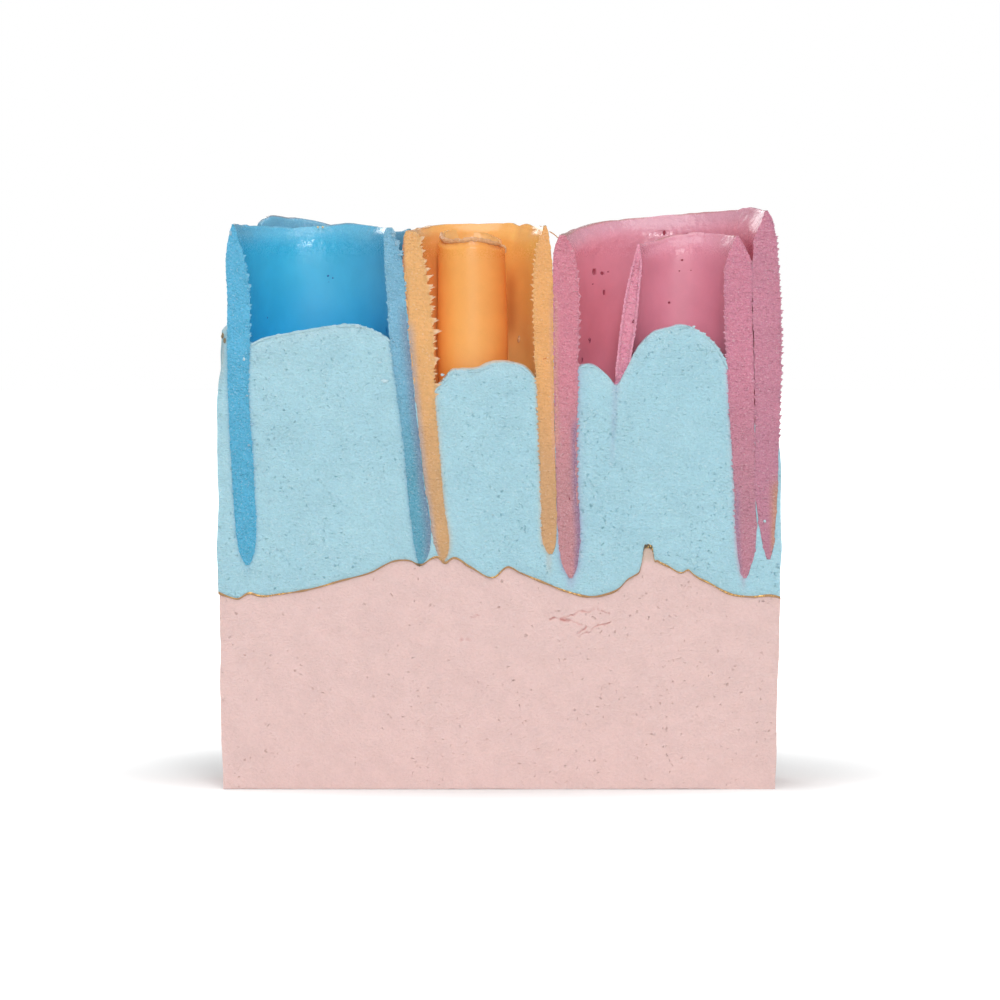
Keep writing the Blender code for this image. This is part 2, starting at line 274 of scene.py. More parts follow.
# %% [markdown]
# ## Shader groups
#
# Four effects turn up in several materials, so each is a node group: the cloudy mottle and sandy grain
# of cast soap, the pits left by air, the scuffed texture that a knife drags across a cut, and the dimples
# near the rims of the rolls. They give out only masks and heights. Each material then puts them into its
# own Principled BSDF. Everything is placed by object coordinates, so nothing depends on the view.

# %% Group helpers


def new_group(name, inputs, outputs):
    """An empty node group with these sockets, given as (name, default) and as names."""
    group = bpy.data.node_groups.new(name, "ShaderNodeTree")
    for label, default in inputs:
        socket = group.interface.new_socket(label, in_out="INPUT", socket_type="NodeSocketFloat")
        socket.default_value = default
    for label in outputs:
        group.interface.new_socket(label, in_out="OUTPUT", socket_type="NodeSocketFloat")
    return group, group.nodes.new("NodeGroupInput"), group.nodes.new("NodeGroupOutput")


def add_node(tree, kind, **settings):
    """A new node with these properties set."""
    node = tree.nodes.new(kind)
    for key, value in settings.items():
        setattr(node, key, value)
    return node


def math_node(tree, operation, first, second=None):
    """A Math node over sockets or plain numbers; returns its output socket."""
    node = add_node(tree, "ShaderNodeMath", operation=operation)
    for socket, value in zip(node.inputs, (first, second)):
        if value is None:
            continue
        if isinstance(value, (int, float)):
            socket.default_value = value
        else:
            tree.links.new(value, socket)
    return node.outputs[0]


def remap(tree, value, low, high, to_low=0.0, to_high=1.0):
    """Turns low..high into to_low..to_high smoothly, held at both ends."""
    node = add_node(tree, "ShaderNodeMapRange", interpolation_type="SMOOTHSTEP")
    tree.links.new(value, node.inputs["Value"])
    for label, number in (("From Min", low), ("From Max", high), ("To Min", to_low), ("To Max", to_high)):
        node.inputs[label].default_value = number
    return node.outputs["Result"]


def millimetres(tree, stretch=(1.0, 1.0, 1.0)):
    """Object coordinates in millimetres, squeezed along each axis by stretch."""
    coordinates = add_node(tree, "ShaderNodeTexCoord")
    scale = add_node(tree, "ShaderNodeVectorMath", operation="MULTIPLY")
    tree.links.new(coordinates.outputs["Object"], scale.inputs[0])
    scale.inputs[1].default_value = [1 / MM / one for one in stretch]
    return scale.outputs[0]


def noise_node(tree, vector, scale, detail=2.0, rough_share=0.5):
    """Smooth noise with this many waves to the millimetre."""
    node = add_node(tree, "ShaderNodeTexNoise")
    tree.links.new(vector, node.inputs["Vector"])
    for label, number in (("Scale", scale), ("Detail", detail), ("Roughness", rough_share)):
        node.inputs[label].default_value = number
    return node.outputs[0]


def swirled(tree, vector, scale):
    """The place moved by up to a millimetre along a coloured noise, so that cells read there are bent."""
    swirl = add_node(tree, "ShaderNodeTexNoise")
    tree.links.new(vector, swirl.inputs["Vector"])
    swirl.inputs["Scale"].default_value = scale
    bent = add_node(tree, "ShaderNodeVectorMath", operation="ADD")
    tree.links.new(vector, bent.inputs[0])
    tree.links.new(swirl.outputs["Color"], bent.inputs[1])
    return bent.outputs[0]


def cells_node(tree, vector, scale, feature="F1"):
    """A lattice of uneven cells. scale is a number or a socket."""
    cells = add_node(tree, "ShaderNodeTexVoronoi", feature=feature)
    tree.links.new(vector, cells.inputs["Vector"])
    if isinstance(scale, bpy.types.NodeSocket):
        tree.links.new(scale, cells.inputs["Scale"])
    else:
        cells.inputs["Scale"].default_value = scale
    return cells


def channels(tree, colour):
    """The three numbers of a colour, as sockets."""
    split = add_node(tree, "ShaderNodeSeparateColor")
    tree.links.new(colour, split.inputs[0])
    return split.outputs


# %% Soap grain, pits and knife marks


def make_grain():
    """Cast soap: a cloudy mottle a few millimetres across, and a sandy height of tenths of a millimetre."""
    group, _, out = new_group("soap_grain", [], ["Mottle", "Height"])
    place = millimetres(group)
    mottle = remap(group, noise_node(group, place, 0.35, 4.0), 0.3, 0.7)
    sand = noise_node(group, place, 4.2, 3.0, 0.65)
    group.links.new(mottle, out.inputs["Mottle"])
    group.links.new(sand, out.inputs["Height"])
    return group


def make_pits():
    """Small uneven pits, in drifts: bent cells of a lattice, where only some hold a pit near their middle."""
    group, given, out = new_group("soap_pits", [("Per mm", 0.8), ("Share", 0.2)], ["Mask"])
    place = millimetres(group)
    cells = cells_node(group, swirled(group, place, 3.0), given.outputs["Per mm"])
    near = remap(group, cells.outputs["Distance"], 0.42, 0.10)
    drift = remap(group, noise_node(group, place, 0.12, 1.0), 0.35, 0.65, 0.2, 1.8)
    share = math_node(group, "MULTIPLY", drift, given.outputs["Share"])
    chosen = math_node(group, "LESS_THAN", channels(group, cells.outputs["Color"])[0], share)
    group.links.new(math_node(group, "MULTIPLY", near, chosen), out.inputs["Mask"])
    return group


def make_knife_marks():
    """A knife cut: scales like a fish's, fine crumbs on them, and lines along the stroke."""
    group, given, out = new_group("knife_marks", [("Per mm", 1.0)], ["Scales", "Crumbs", "Lines"])
    place = millimetres(group, (1.0, 1.0, 0.7))
    cells = cells_node(group, swirled(group, place, 0.7), given.outputs["Per mm"], "SMOOTH_F1")
    crumbs = noise_node(group, place, 3.2, 2.0, 0.6)
    scales = math_node(group, "ADD", cells.outputs["Distance"], crumbs)
    lines = noise_node(group, millimetres(group, (4.0, 1.0, 0.5)), 2.5, 2.0, 0.5)
    group.links.new(scales, out.inputs["Scales"])
    group.links.new(crumbs, out.inputs["Crumbs"])
    group.links.new(lines, out.inputs["Lines"])
    return group


def make_peel():
    """The orange-peel dimples of soap that set against air, strongest near the rims of the rolls."""
    group, given, out = new_group("rim_peel", [("From mm", 75.0), ("To mm", 79.5)], ["Height", "Gloss"])
    place = millimetres(group)
    split = add_node(group, "ShaderNodeSeparateXYZ")
    group.links.new(place, split.inputs[0])
    rise = add_node(group, "ShaderNodeMapRange", interpolation_type="SMOOTHSTEP")
    group.links.new(split.outputs["Z"], rise.inputs["Value"])
    group.links.new(given.outputs["From mm"], rise.inputs["From Min"])
    group.links.new(given.outputs["To mm"], rise.inputs["From Max"])
    dimples = noise_node(group, place, 1.0, 2.0, 0.5)
    group.links.new(math_node(group, "MULTIPLY", dimples, rise.outputs["Result"]), out.inputs["Height"])
    group.links.new(rise.outputs["Result"], out.inputs["Gloss"])
    return group


GRAIN, PITS, KNIFE_MARKS, PEEL = make_grain(), make_pits(), make_knife_marks(), make_peel()
print("groups:", ", ".join(group.name for group in bpy.data.node_groups))

# %% [markdown]
# A soap material reads the tint attribute and darkens or lightens it with the mottle, with painted shade in
# the pits and dents and painted light and highlights on the crumbs. Light goes a little way into soap
# before it comes out, so each one has some subsurface scattering.

# %% Soap materials


def new_material(name):
    """An empty material, its node tree and its Principled BSDF."""
    made = bpy.data.materials.new(name)
    made.use_nodes = True
    return made, made.node_tree, made.node_tree.nodes["Principled BSDF"]


def tint_socket(tree):
    """The vertex colours that set_tint stored."""
    return add_node(tree, "ShaderNodeAttribute", attribute_name="tint").outputs["Color"]


def use_group(tree, group, **values):
    """A shared group placed in this material, with its own values."""
    node = add_node(tree, "ShaderNodeGroup", node_tree=group)
    for label, value in values.items():
        node.inputs[label.replace("_", " ")].default_value = value
    return node


def mix_colour(tree, share, first, second, blend_type="MIX"):
    """Mixes two colours, or multiplies them; each input is a socket or a plain value."""
    node = add_node(tree, "ShaderNodeMix", data_type="RGBA", blend_type=blend_type)
    for label, value in (("Factor", share), ("A", first), ("B", second)):
        socket = next(one for one in node.inputs if one.name == label and one.enabled)
        if isinstance(value, bpy.types.NodeSocket):
            tree.links.new(value, socket)
        elif label == "Factor":
            socket.default_value = value
        else:
            socket.default_value = (*value, 1.0)
    return next(one for one in node.outputs if one.enabled)


def bump(tree, height, distance_mm, below=None):
    """A normal tilted by a height of this many millimetres, laid over the bumps below it."""
    node = add_node(tree, "ShaderNodeBump")
    node.inputs["Strength"].default_value = 1.0
    node.inputs["Distance"].default_value = distance_mm * MM
    tree.links.new(height, node.inputs["Height"])
    if below is not None:
        tree.links.new(below, node.inputs["Normal"])
    return node.outputs[0]


RIM_GLOSS = 0.22  # how much smoother a rim is than the rest of the skin


def soap_material(name, roughness, relief, specks, pits, pit_shade):
    """A soap whose colour comes from the tint attribute.

    relief is the height of the grain and of the knife marks in millimetres, how many marks there are
    along a millimetre, and the height of the dimples at a rim. specks is how far the colour is painted
    lighter on the crumbs and darker in the dents between them and between the knife's scales, as painted
    light and shade, and how white the highest crumbs are painted, as painted highlights. pits is how many
    cells there are along a millimetre and what share of them holds a pit, and the last argument is the
    colour of the painted shade in the pits."""
    grain, marks, scale, peel = relief
    relief_shade, painted_glint = specks
    made, tree, shader = new_material(name)
    grained = use_group(tree, GRAIN)
    pitted = use_group(tree, PITS, Per_mm=pits[0], Share=pits[1])
    shade = remap(tree, grained.outputs["Mottle"], 0.0, 1.0, 0.98, 1.02)
    colour = mix_colour(tree, 1.0, tint_socket(tree), shade, "MULTIPLY")
    # Painted light and shade from the grain's height: lighter on the crumbs, darker in the dents.
    crumbs = remap(tree, grained.outputs["Height"], 0.35, 0.65, 1 - relief_shade, 1 + relief_shade)
    colour = mix_colour(tree, 1.0, colour, crumbs, "MULTIPLY")
    normal = bump(tree, grained.outputs["Height"], grain)
    rough_value = remap(tree, grained.outputs["Height"], 0.3, 0.7, roughness - 0.08, roughness + 0.08)
    if marks:
        cut = use_group(tree, KNIFE_MARKS, Per_mm=scale)
        # Painted light and shade from the knife's scales: lighter on their tops, darker between them.
        scale_shade = remap(tree, cut.outputs["Scales"], 0.6, 1.1, 1 - relief_shade, 1 + relief_shade)
        colour = mix_colour(tree, 1.0, colour, scale_shade, "MULTIPLY")
        # Painted highlights: the highest crumbs turn whitish.
        torn = remap(tree, cut.outputs["Crumbs"], 0.55, 0.72, 0.0, painted_glint)
        colour = mix_colour(tree, torn, colour, (0.9, 0.9, 0.9))
        normal = bump(tree, cut.outputs["Scales"], marks, normal)
        normal = bump(tree, cut.outputs["Lines"], marks / 3, normal)
    if peel:
        dimpled = use_group(tree, PEEL)
        normal = bump(tree, dimpled.outputs["Height"], peel, normal)
        gloss = math_node(tree, "MULTIPLY", dimpled.outputs["Gloss"], RIM_GLOSS)
        rough_value = math_node(tree, "SUBTRACT", rough_value, gloss)
    # Painted shade in the pits: the pit mask mixes in the pit's shade colour.
    tree.links.new(mix_colour(tree, pitted.outputs["Mask"], colour, pit_shade), shader.inputs["Base Color"])
    hollow = math_node(tree, "MULTIPLY", pitted.outputs["Mask"], -1.0)
    tree.links.new(bump(tree, hollow, 0.15, normal), shader.inputs["Normal"])
    tree.links.new(rough_value, shader.inputs["Roughness"])
    shader.inputs["Subsurface Weight"].default_value = 0.2
    shader.inputs["Subsurface Radius"].default_value = (1.0, 0.7, 0.5)
    shader.inputs["Subsurface Scale"].default_value = 1.2 * MM
    return made


# The cast soaps are dull and pitted, a sheet's skin is waxy, and its cut edge is sandy.
# Each soap is (name, roughness, relief, specks, pits, the colour of the painted shade in its pits).
SOAPS = (
    ("pink_base_soap", 0.6, (0.05, 0.05, 2.2, 0.0), (0.02, 0.10), (2.3, 0.04), BASE_PIT_SHADE),
    ("light_blue_soap", 0.6, (0.07, 0.12, 2.0, 0.0), (0.03, 0.22), (2.4, 0.11), POUR_PIT_SHADE),
    ("blue_skin", 0.46, (0.01, 0.0, 1.0, 0.18), (0.01, 0.0), (0.5, 0.005), BLUE_DEEP),
    ("blue_cut", 0.30, (0.05, 0.26, 1.7, 0.0), (0.03, 0.24), (1.6, 0.006), BLUE_DEEP),
    ("orange_skin", 0.42, (0.01, 0.0, 1.0, 0.06), (0.01, 0.0), (0.8, 0.0), ORANGE_DEEP),
    ("orange_cut", 0.46, (0.05, 0.14, 2.0, 0.0), (0.03, 0.20), (1.4, 0.003), ORANGE_DEEP),
    ("pink_skin", 0.44, (0.01, 0.0, 1.0, 0.18), (0.01, 0.0), (0.8, 0.006), PINK_DEEP),
    ("pink_cut", 0.28, (0.05, 0.28, 1.6, 0.0), (0.03, 0.25), (1.6, 0.003), PINK_DEEP),
)
base_soap, pour_soap, *sheet_soaps = (soap_material(*soap) for soap in SOAPS)
blue_skin, blue_cut, orange_skin, orange_cut, pink_skin, pink_cut = sheet_soaps
MATERIALS = {
    "blue": (blue_skin, blue_cut),
    "orange": (orange_skin, orange_cut),
    "pink": (pink_skin, pink_cut),
}
print("soaps:", ", ".join(material.name for material in bpy.data.materials))

# %% [markdown]
# ## The gold line
#
# Mica powder was dusted over the pink layer before the blue was poured, so it follows the pink's soft
# peaks. Its height over the cut is a smooth curve through a few points; away from the cut the peaks
# wander sideways a little.

# %% Height of the gold line

PEAK_DRIFT = 0.12  # millimetres sideways for each millimetre of depth
LINE_POINTS = (
    (-41.5, 28.9), (-39.3, 28.0), (-37.9, 27.7), (-36.4, 28.5), (-34.7, 28.1), (-31.8, 28.4),
    (-27.4, 29.1), (-23.1, 30.3), (-18.7, 31.5), (-15.1, 33.2), (-12.9, 33.2), (-11.5, 32.6),
    (-9.7, 33.6), (-9.0, 33.8), (-7.9, 32.9), (-6.8, 33.6), (-4.2, 32.3), (-0.6, 30.9),
    (1.1, 32.3), (3.0, 31.5), (6.6, 30.0), (10.3, 28.6), (13.2, 28.0), (15.3, 28.3),
    (17.5, 29.3), (18.6, 30.5), (19.6, 31.1), (20.5, 32.2), (20.75, 33.4), (20.95, 34.9), (21.35, 35.3),
    (21.9, 35.25), (22.25, 34.8), (22.45, 33.5), (22.9, 33.2), (24.5, 32.4), (26.6, 31.5), (27.4, 31.9),
    (28.2, 31.2), (30.6, 29.9), (33.5, 28.4), (36.4, 28.0), (40.0, 28.1), (41.5, 27.6),
)  # fmt: skip
LINE_HALF = 0.14


def plan_places(values):
    """x and y of a layer's points before its sides swell, in millimetres."""
    return values[0] * half_width(30.0), FRONT + (BACK - FRONT) * values[1]


def line_height(x, y):
    """Height of the gold line's middle: the curve over the cut, moved sideways and softened with depth."""
    depth = y - FRONT
    moved = x - PEAK_DRIFT * depth
    place = np.column_stack([x, y, np.zeros(len(x))])
    sharp = smooth_through(moved, LINE_POINTS)
    soft = (smooth_through(moved - 1.2, LINE_POINTS) + smooth_through(moved + 1.2, LINE_POINTS)) / 2
    share = smooth_step(depth, 0.5, 4.0)
    wander = 0.5 * noise(place, 6.0, 3) * smooth_step(depth, 1.0, 8.0)
    return sharp * (1 - share) + soft * share + wander


def half_width(z):
    """Half the bar's width: it swells by a quarter sine wave up to 45 mm, then narrows at the shoulder."""
    swell = np.sin(np.clip(z / 45, 0, 1) * np.pi / 2)
    return HALF_FLOOR + (HALF_WIDEST - HALF_FLOOR) * swell


# %% [markdown]
# ## The pink base
#
# The base is a bent block. Its top follows the gold line, its sides follow the mould, and its edges are
# slightly rounded by wear. The cut face is dented by noise and torn open in one small crease.

# %% Base surface

CELL = 0.38  # size of the cells on a cut face
EDGE_RADIUS = 0.35


def round_edges(points, low, high, radius):
    """Pulls points near the edges of a box onto quarter circles of this radius.

    A point's distance from a box that is one radius smaller all round is made no more than the radius."""
    inner = np.clip(points, low + radius, high - radius)
    away = points - inner
    length = np.maximum(np.linalg.norm(away, axis=1), 1e-9)
    return inner + away * np.minimum(1, radius / length)[:, None]


def crease(x, z, start, end, width):
    """How near each place is to the line from start to end: 1 on it, and 0 a width away. The line thins
    out towards its end."""
    start, end = np.array(start), np.array(end)
    along = end - start
    offset = np.column_stack([x, z]) - start
    share = np.clip(offset @ along / (along @ along), 0, 1)
    away = np.linalg.norm(offset - share[:, None] * along, axis=1)
    return np.clip(1 - away / (width * (1.05 - 0.6 * share)), 0, 1) * (1 - 0.5 * share)


# The small tear under the peak: two creases that open like a beak, a faint ring beside them, and two
# scratches. Each is (start, end, width), with places as (x, z).
CREASES = (
    ((7.4, 24.5), (9.4, 24.7), 0.22), ((9.0, 24.7), (11.8, 25.9), 0.30),
    ((9.0, 24.6), (11.9, 23.9), 0.34), ((12.3, 23.7), (11.3, 22.6), 0.24),
    ((16.0, 24.3), (11.2, 22.4), 0.18), ((11.6, 25.7), (13.6, 26.4), 0.20),
    ((15.9, 25.8), (14.2, 26.5), 0.14), ((-4.2, 25.0), (-3.0, 25.4), 0.2),
    ((-5.6, 21.9), (-4.4, 21.7), 0.2),
)  # fmt: skip


def torn_crease(x, z):
    """The deepest of the creases at each place. Noise bends them."""
    place = np.column_stack([x, z, np.zeros(len(x))])
    bent_x, bent_z = x + 0.35 * rough(place, 1.3, 41), z + 0.35 * rough(place, 1.3, 42)
    broken = 0.65 + 0.35 * noise(place, 0.7, 43)
    return np.max([crease(bent_x, bent_z, *one) for one in CREASES], axis=0) * broken


def cut_relief(points, seed):
    """How far a cut face stands out: broad waves and small dents, in millimetres."""
    return 0.10 * rough(points, 9.0, seed) + 0.05 * rough(points, 1.4, seed + 7)


def layer_place(values, bottom, top, seed):
    """A slice of the loaf between two heights, with a cut's relief on its front and back."""
    across, back, up = values
    z = bottom + (top - bottom) * up
    x = across * half_width(z)
    y = FRONT + (BACK - FRONT) * back
    points = np.column_stack([x, y, z])
    x = x + across**9 * 0.22 * rough(points, 7.0, seed + 3)
    facing = np.where(back < 0.5, -1.0, 1.0) * (np.abs(back - 0.5) > 0.499)
    y = y + facing * (cut_relief(points, seed) - 0.1)
    return np.column_stack([x, y, z])


# The cells are smaller over the spike in the gold line, and over the tear.
across = np.union1d(spread(-1, 1, CELL / HALF_WIDEST), spread(20.2, 23.0, 0.12) / half_width(30.0))
base_across = np.union1d(across, spread(7.0, 17.0, 0.17) / half_width(24.0))
base_up = np.union1d(spread(0, 1, CELL / 29), spread(0.74, 0.93, 0.16 / 29))
depths = spread(0, 1, 0.8 / (BACK - FRONT))
values, faces, _ = block_sides(base_across, depths, base_up)
base_points = layer_place(values, 0.0, line_height(*plan_places(values)) - LINE_HALF * 0.6, 11)
tear = torn_crease(base_points[:, 0], base_points[:, 2]) * (values[1] == 0)
base_points[:, 1] += 0.3 * tear
worn = round_edges(base_points, base_points.min(axis=0), base_points.max(axis=0) + (0, 0, 9), EDGE_RADIUS)
base_points = np.where(base_points[:, 2:] < 3, worn, base_points)
base_mesh = mesh_from("pink_base_fine", base_points, faces)
spike = smooth_step(base_points[:, 2], 32.6, 33.8) * (np.abs(base_points[:, 0] - 21.6) < 1.5)
base_colour = blend(np.tile(BASE_PINK, (len(base_points), 1)), linear(205, 182, 165), 0.8 * spike)
# Painted shade: the tear's creases are darkened towards the base's deep colour.
set_tint(base_mesh, blend(base_colour, BASE_DEEP, tear * 1.2))
base_mesh.materials.append(base_soap)
smooth_shaded(base_mesh, 40)
base = put_object("pink_base_fine", base_mesh)
print(f"base: {len(base_mesh.polygons)} faces")

# %% [markdown]
# ## The mica film
#
# The line itself is a thin block that follows the same heights. It stands a hair proud of the cut, where
# the knife dragged the powder. The powder is thick and dark where it caps the small spike.

# %% Mica


def mica_material():
    """Gold powder in soap: the tint attribute between the grains, and bright metal on some of them."""
    made, tree, shader = new_material("gold_mica")
    place = millimetres(tree)
    lots = channels(tree, cells_node(tree, place, 6.0).outputs["Color"])
    drift = remap(tree, noise_node(tree, place, 0.15, 1.0), 0.45, 0.6)
    grains = math_node(tree, "MULTIPLY", remap(tree, lots[0], 0.6, 0.75), drift)
    for label, socket in (
        ("Base Color", mix_colour(tree, grains, tint_socket(tree), BRIGHT_GOLD)),
        ("Metallic", remap(tree, grains, 0.0, 1.0, 0.0, 0.85)),
        ("Roughness", remap(tree, grains, 0.0, 1.0, 0.7, 0.3)),
        ("Normal", bump(tree, lots[1], 0.08)),
    ):
        tree.links.new(socket, shader.inputs[label])
    return made


values, faces, _ = block_sides(across, depths, spread(-1, 1, 1.0))
x, y = plan_places(values)
middle = line_height(x, y)
place = np.column_stack([x, y, middle])
thickness = LINE_HALF * (1 + 0.6 * noise(place, 1.5, 21))
cap = smooth_step(middle, 33.6, 34.8) * (x > 20) * (x < 23)
hole = np.exp(-(((x + 11.7) / 0.35) ** 2)) * (values[1] == 0)
thickness = thickness + 0.14 * cap + 0.14 * hole
y = y + 0.14 * (values[1] - 0.5)
mica_mesh = mesh_from("gold_mica_line_fine", np.column_stack([x, y, middle + values[2] * thickness]), faces)
set_tint(mica_mesh, blend(np.tile(GOLD, (len(x), 1)), OLIVE, cap + hole))
mica_mesh.materials.append(mica_material())
mica_mesh.shade_smooth()
mica = put_object("gold_mica_line_fine", mica_mesh)
print(f"mica: {len(mica_mesh.polygons)} faces")

# %% [markdown]
# ## The rolled sheets
#
# A rolled sheet that a knife has opened looks like a wall bent into a U: it starts as a strip on the cut
# face, runs back round the hollow and comes forward to a second strip. So a wall is a bent block too:
# one number goes round the U, one goes up, and one goes through the thickness. The strips on the cut are
# given at a few heights, and the U between them is half a superellipse.

# %% Walls of the rolls

# left and right are the strips on the cut as (height, outer edge, inner edge), from foot to rim.
# rim is the upper edge's height over x. reach is how far the wall goes back behind the cut.
WALLS = {
    "blue_roll_wall": {
        "colour": "blue", "reach": 13.5, "squareness": 2.2, "foot_crown": 1.6, "turn": (0, 1),
        "left": (
            (32.6, -36.8, -36.3), (33.4, -37.2, -35.9), (35.5, -37.9, -35.4), (37.7, -38.2, -35.3),
            (42, -38.5, -35.5), (49, -38.9, -35.8), (57, -39.3, -36.4),
            (65, -39.4, -36.2), (72, -39.4, -36.3),
            (77, -39.6, -37.0), (80.3, -39.2, -37.9), (82, -38.7, -38.4),
        ),
        "right": (
            (32.6, -11.2, -11.6), (33.4, -10.6, -11.9), (35.5, -10.0, -12.3), (40, -10.2, -12.9),
            (44, -10.9, -13.3), (49, -11.4, -13.7), (55, -12.1, -14.5), (60, -12.55, -15.1),
            (66, -13.1, -15.9), (71, -13.5, -16.2), (74.4, -13.85, -16.4), (77, -14.2, -16.6),
            (79, -14.7, -16.7), (80.7, -15.1, -16.6), (81.5, -15.5, -16.2),
        ),
        "rim": (
            (-38.5, 82.0), (-37, 81.9), (-33, 81.75), (-30, 81.5), (-26.5, 81.8), (-23.8, 82.1),
            (-20.6, 82.1), (-19, 81.8), (-15.6, 81.5),
        ),
    },
    "orange_roll_wall": {
        "colour": "orange", "reach": 13.2, "squareness": 2.4, "foot_crown": 1.6, "turn": (0, 1),
        "left": (
            (33.2, -8.5, -8.0), (33.8, -8.8, -7.6), (35.5, -9.4, -7.3), (40, -10.05, -7.9),
            (44, -10.75, -8.3), (51, -11.55, -8.9), (57, -12.15, -9.4), (64, -12.95, -9.6),
            (68, -13.25, -9.8), (73, -13.65, -10.4), (76.5, -13.9, -11.0), (79, -13.9, -11.5),
            (80.3, -13.8, -11.7), (81, -13.5, -12.3),
        ),
        "right": (
            (34.2, 7.7, 7.2), (34.8, 8.0, 6.8), (36, 8.25, 6.3), (37.7, 8.3, 6.2), (42, 8.3, 6.1),
            (49, 8.1, 5.9), (56.6, 7.9, 5.6), (64, 7.8, 5.2), (71, 7.8, 5.0),
            (76.7, 7.6, 5.2), (80.5, 7.1, 6.0), (81.7, 6.8, 6.5),
        ),
        "rim": (
            (-13.1, 81.0), (-12.3, 81.2), (-10, 81.8), (-6, 82.05), (-2.8, 82.2), (0.3, 82.3), (2.3, 82.2),
            (3.0, 81.85), (4.0, 82.05), (5.2, 81.8), (6.7, 81.75),
        ),
    },
    "pink_roll_wall": {
        "colour": "pink", "reach": 15.6, "squareness": 2.2, "foot_crown": 2.5, "turn": (0, 1),
        "left": (
            (30.7, 10.2, 10.6), (31.2, 9.8, 10.9), (32.3, 9.3, 11.3), (34, 8.9, 11.5), (37.7, 8.5, 11.7),
            (42, 8.3, 11.4), (49, 8.2, 11.2), (56.6, 8.0, 11.3), (65, 7.85, 11.4),
            (72, 7.8, 11.5), (75.4, 7.8, 11.2), (79, 8.1, 10.5),
            (80.5, 8.7, 9.6),
        ),
        "right": (
            (33.4, 39.3, 38.9), (34.4, 39.6, 38.5), (37.7, 40.0, 37.8), (42, 40.3, 37.2), (50, 40.5, 37.1),
            (56.6, 40.7, 37.05), (65, 40.85, 36.9), (71, 40.7, 36.7), (77, 40.3, 36.7),
            (80.5, 40.0, 37.1), (82.3, 39.6, 37.9), (84, 38.9, 38.5),
        ),
        "rim": (
            (9.3, 80.4), (11, 81.2), (14.6, 82.4), (20.4, 83.1), (24, 83.3), (29.1, 83.8), (34.9, 84.2),
            (37.1, 84.45), (38.7, 84.0),
        ),
    },
    "pink_roll_core": {
        "colour": "pink", "reach": 10.4, "squareness": 2.2, "foot_crown": 3.0, "turn": (0.033, 1),
        "left": (
            (34, 16.0, 16.2), (40, 15.6, 17.4), (49, 16.1, 17.9), (58.7, 16.7, 18.6), (62, 17.0, 19.0),
            (68, 17.7, 19.9), (72.5, 18.4, 20.3), (77, 19.5, 20.6), (79, 20.0, 20.3),
        ),
        "right": (
            (30.7, 35.9, 35.4), (31.4, 36.2, 35.1), (33.4, 36.8, 34.7), (37.7, 37.35, 34.3),
            (42, 37.15, 34.2), (49, 37.05, 33.8), (56.6, 37.0, 33.3), (64, 36.8, 32.9), (71, 36.6, 32.7),
            (77, 36.3, 33.0), (79.3, 35.3, 33.8), (80.3, 34.7, 34.4),
        ),
        "rim": ((20.1, 79.0), (22, 79.5), (24, 80.1), (29.1, 80.8), (32, 80.6), (34.5, 80.3)),
    },
    "blue_roll_outer_wrap": {
        "colour": "blue", "reach": 17.4, "squareness": 2.2, "foot_crown": 0.0, "turn": (0.27, 0.78),
        "left": ((36, -40.1, -39.9), (43, -41.1, -38.9), (76, -41.1, -38.9), (83, -40.2, -39.8)),
        "right": ((36, -9.9, -10.1), (43, -8.9, -11.1), (76, -8.9, -11.1), (82, -9.8, -10.2)),
        "rim": (
            (-36.2, 81.0), (-35.3, 82.3), (-34.1, 83.2), (-31.6, 83.1), (-29.2, 83.0), (-27.3, 82.7),
            (-25.1, 82.1), (-20, 81.2), (-16, 81.0), (-12.5, 81.5),
        ),
    },
}  # fmt: skip


def strip(points, up):
    """Middle and half thickness of a strip at a share of its height."""
    heights, outer, inner = np.array(points, float).T
    share = (heights - heights[0]) / (heights[-1] - heights[0])
    outer_x = smooth_through(up, np.column_stack([share, outer]))
    inner_x = smooth_through(up, np.column_stack([share, inner]))
    return (outer_x + inner_x) / 2, np.abs(outer_x - inner_x) / 2


def rounded(value, squareness):
    """A sine or cosine turned into a superellipse's, whose corners are squarer than a circle's."""
    return np.sign(value) * np.abs(value) ** (2 / squareness)


def wall_plan(wall, turn, left, right):
    """(x, depth) of a wall's middle line at a share of its turn."""
    cosine = rounded(np.cos(np.pi * turn), wall["squareness"])
    sine = rounded(np.sin(np.pi * turn), wall["squareness"])
    return (left + right) / 2 - (right - left) / 2 * cosine, wall["reach"] * sine


RIM_HALF = 0.42  # half the thickness of a rim, away from the cut


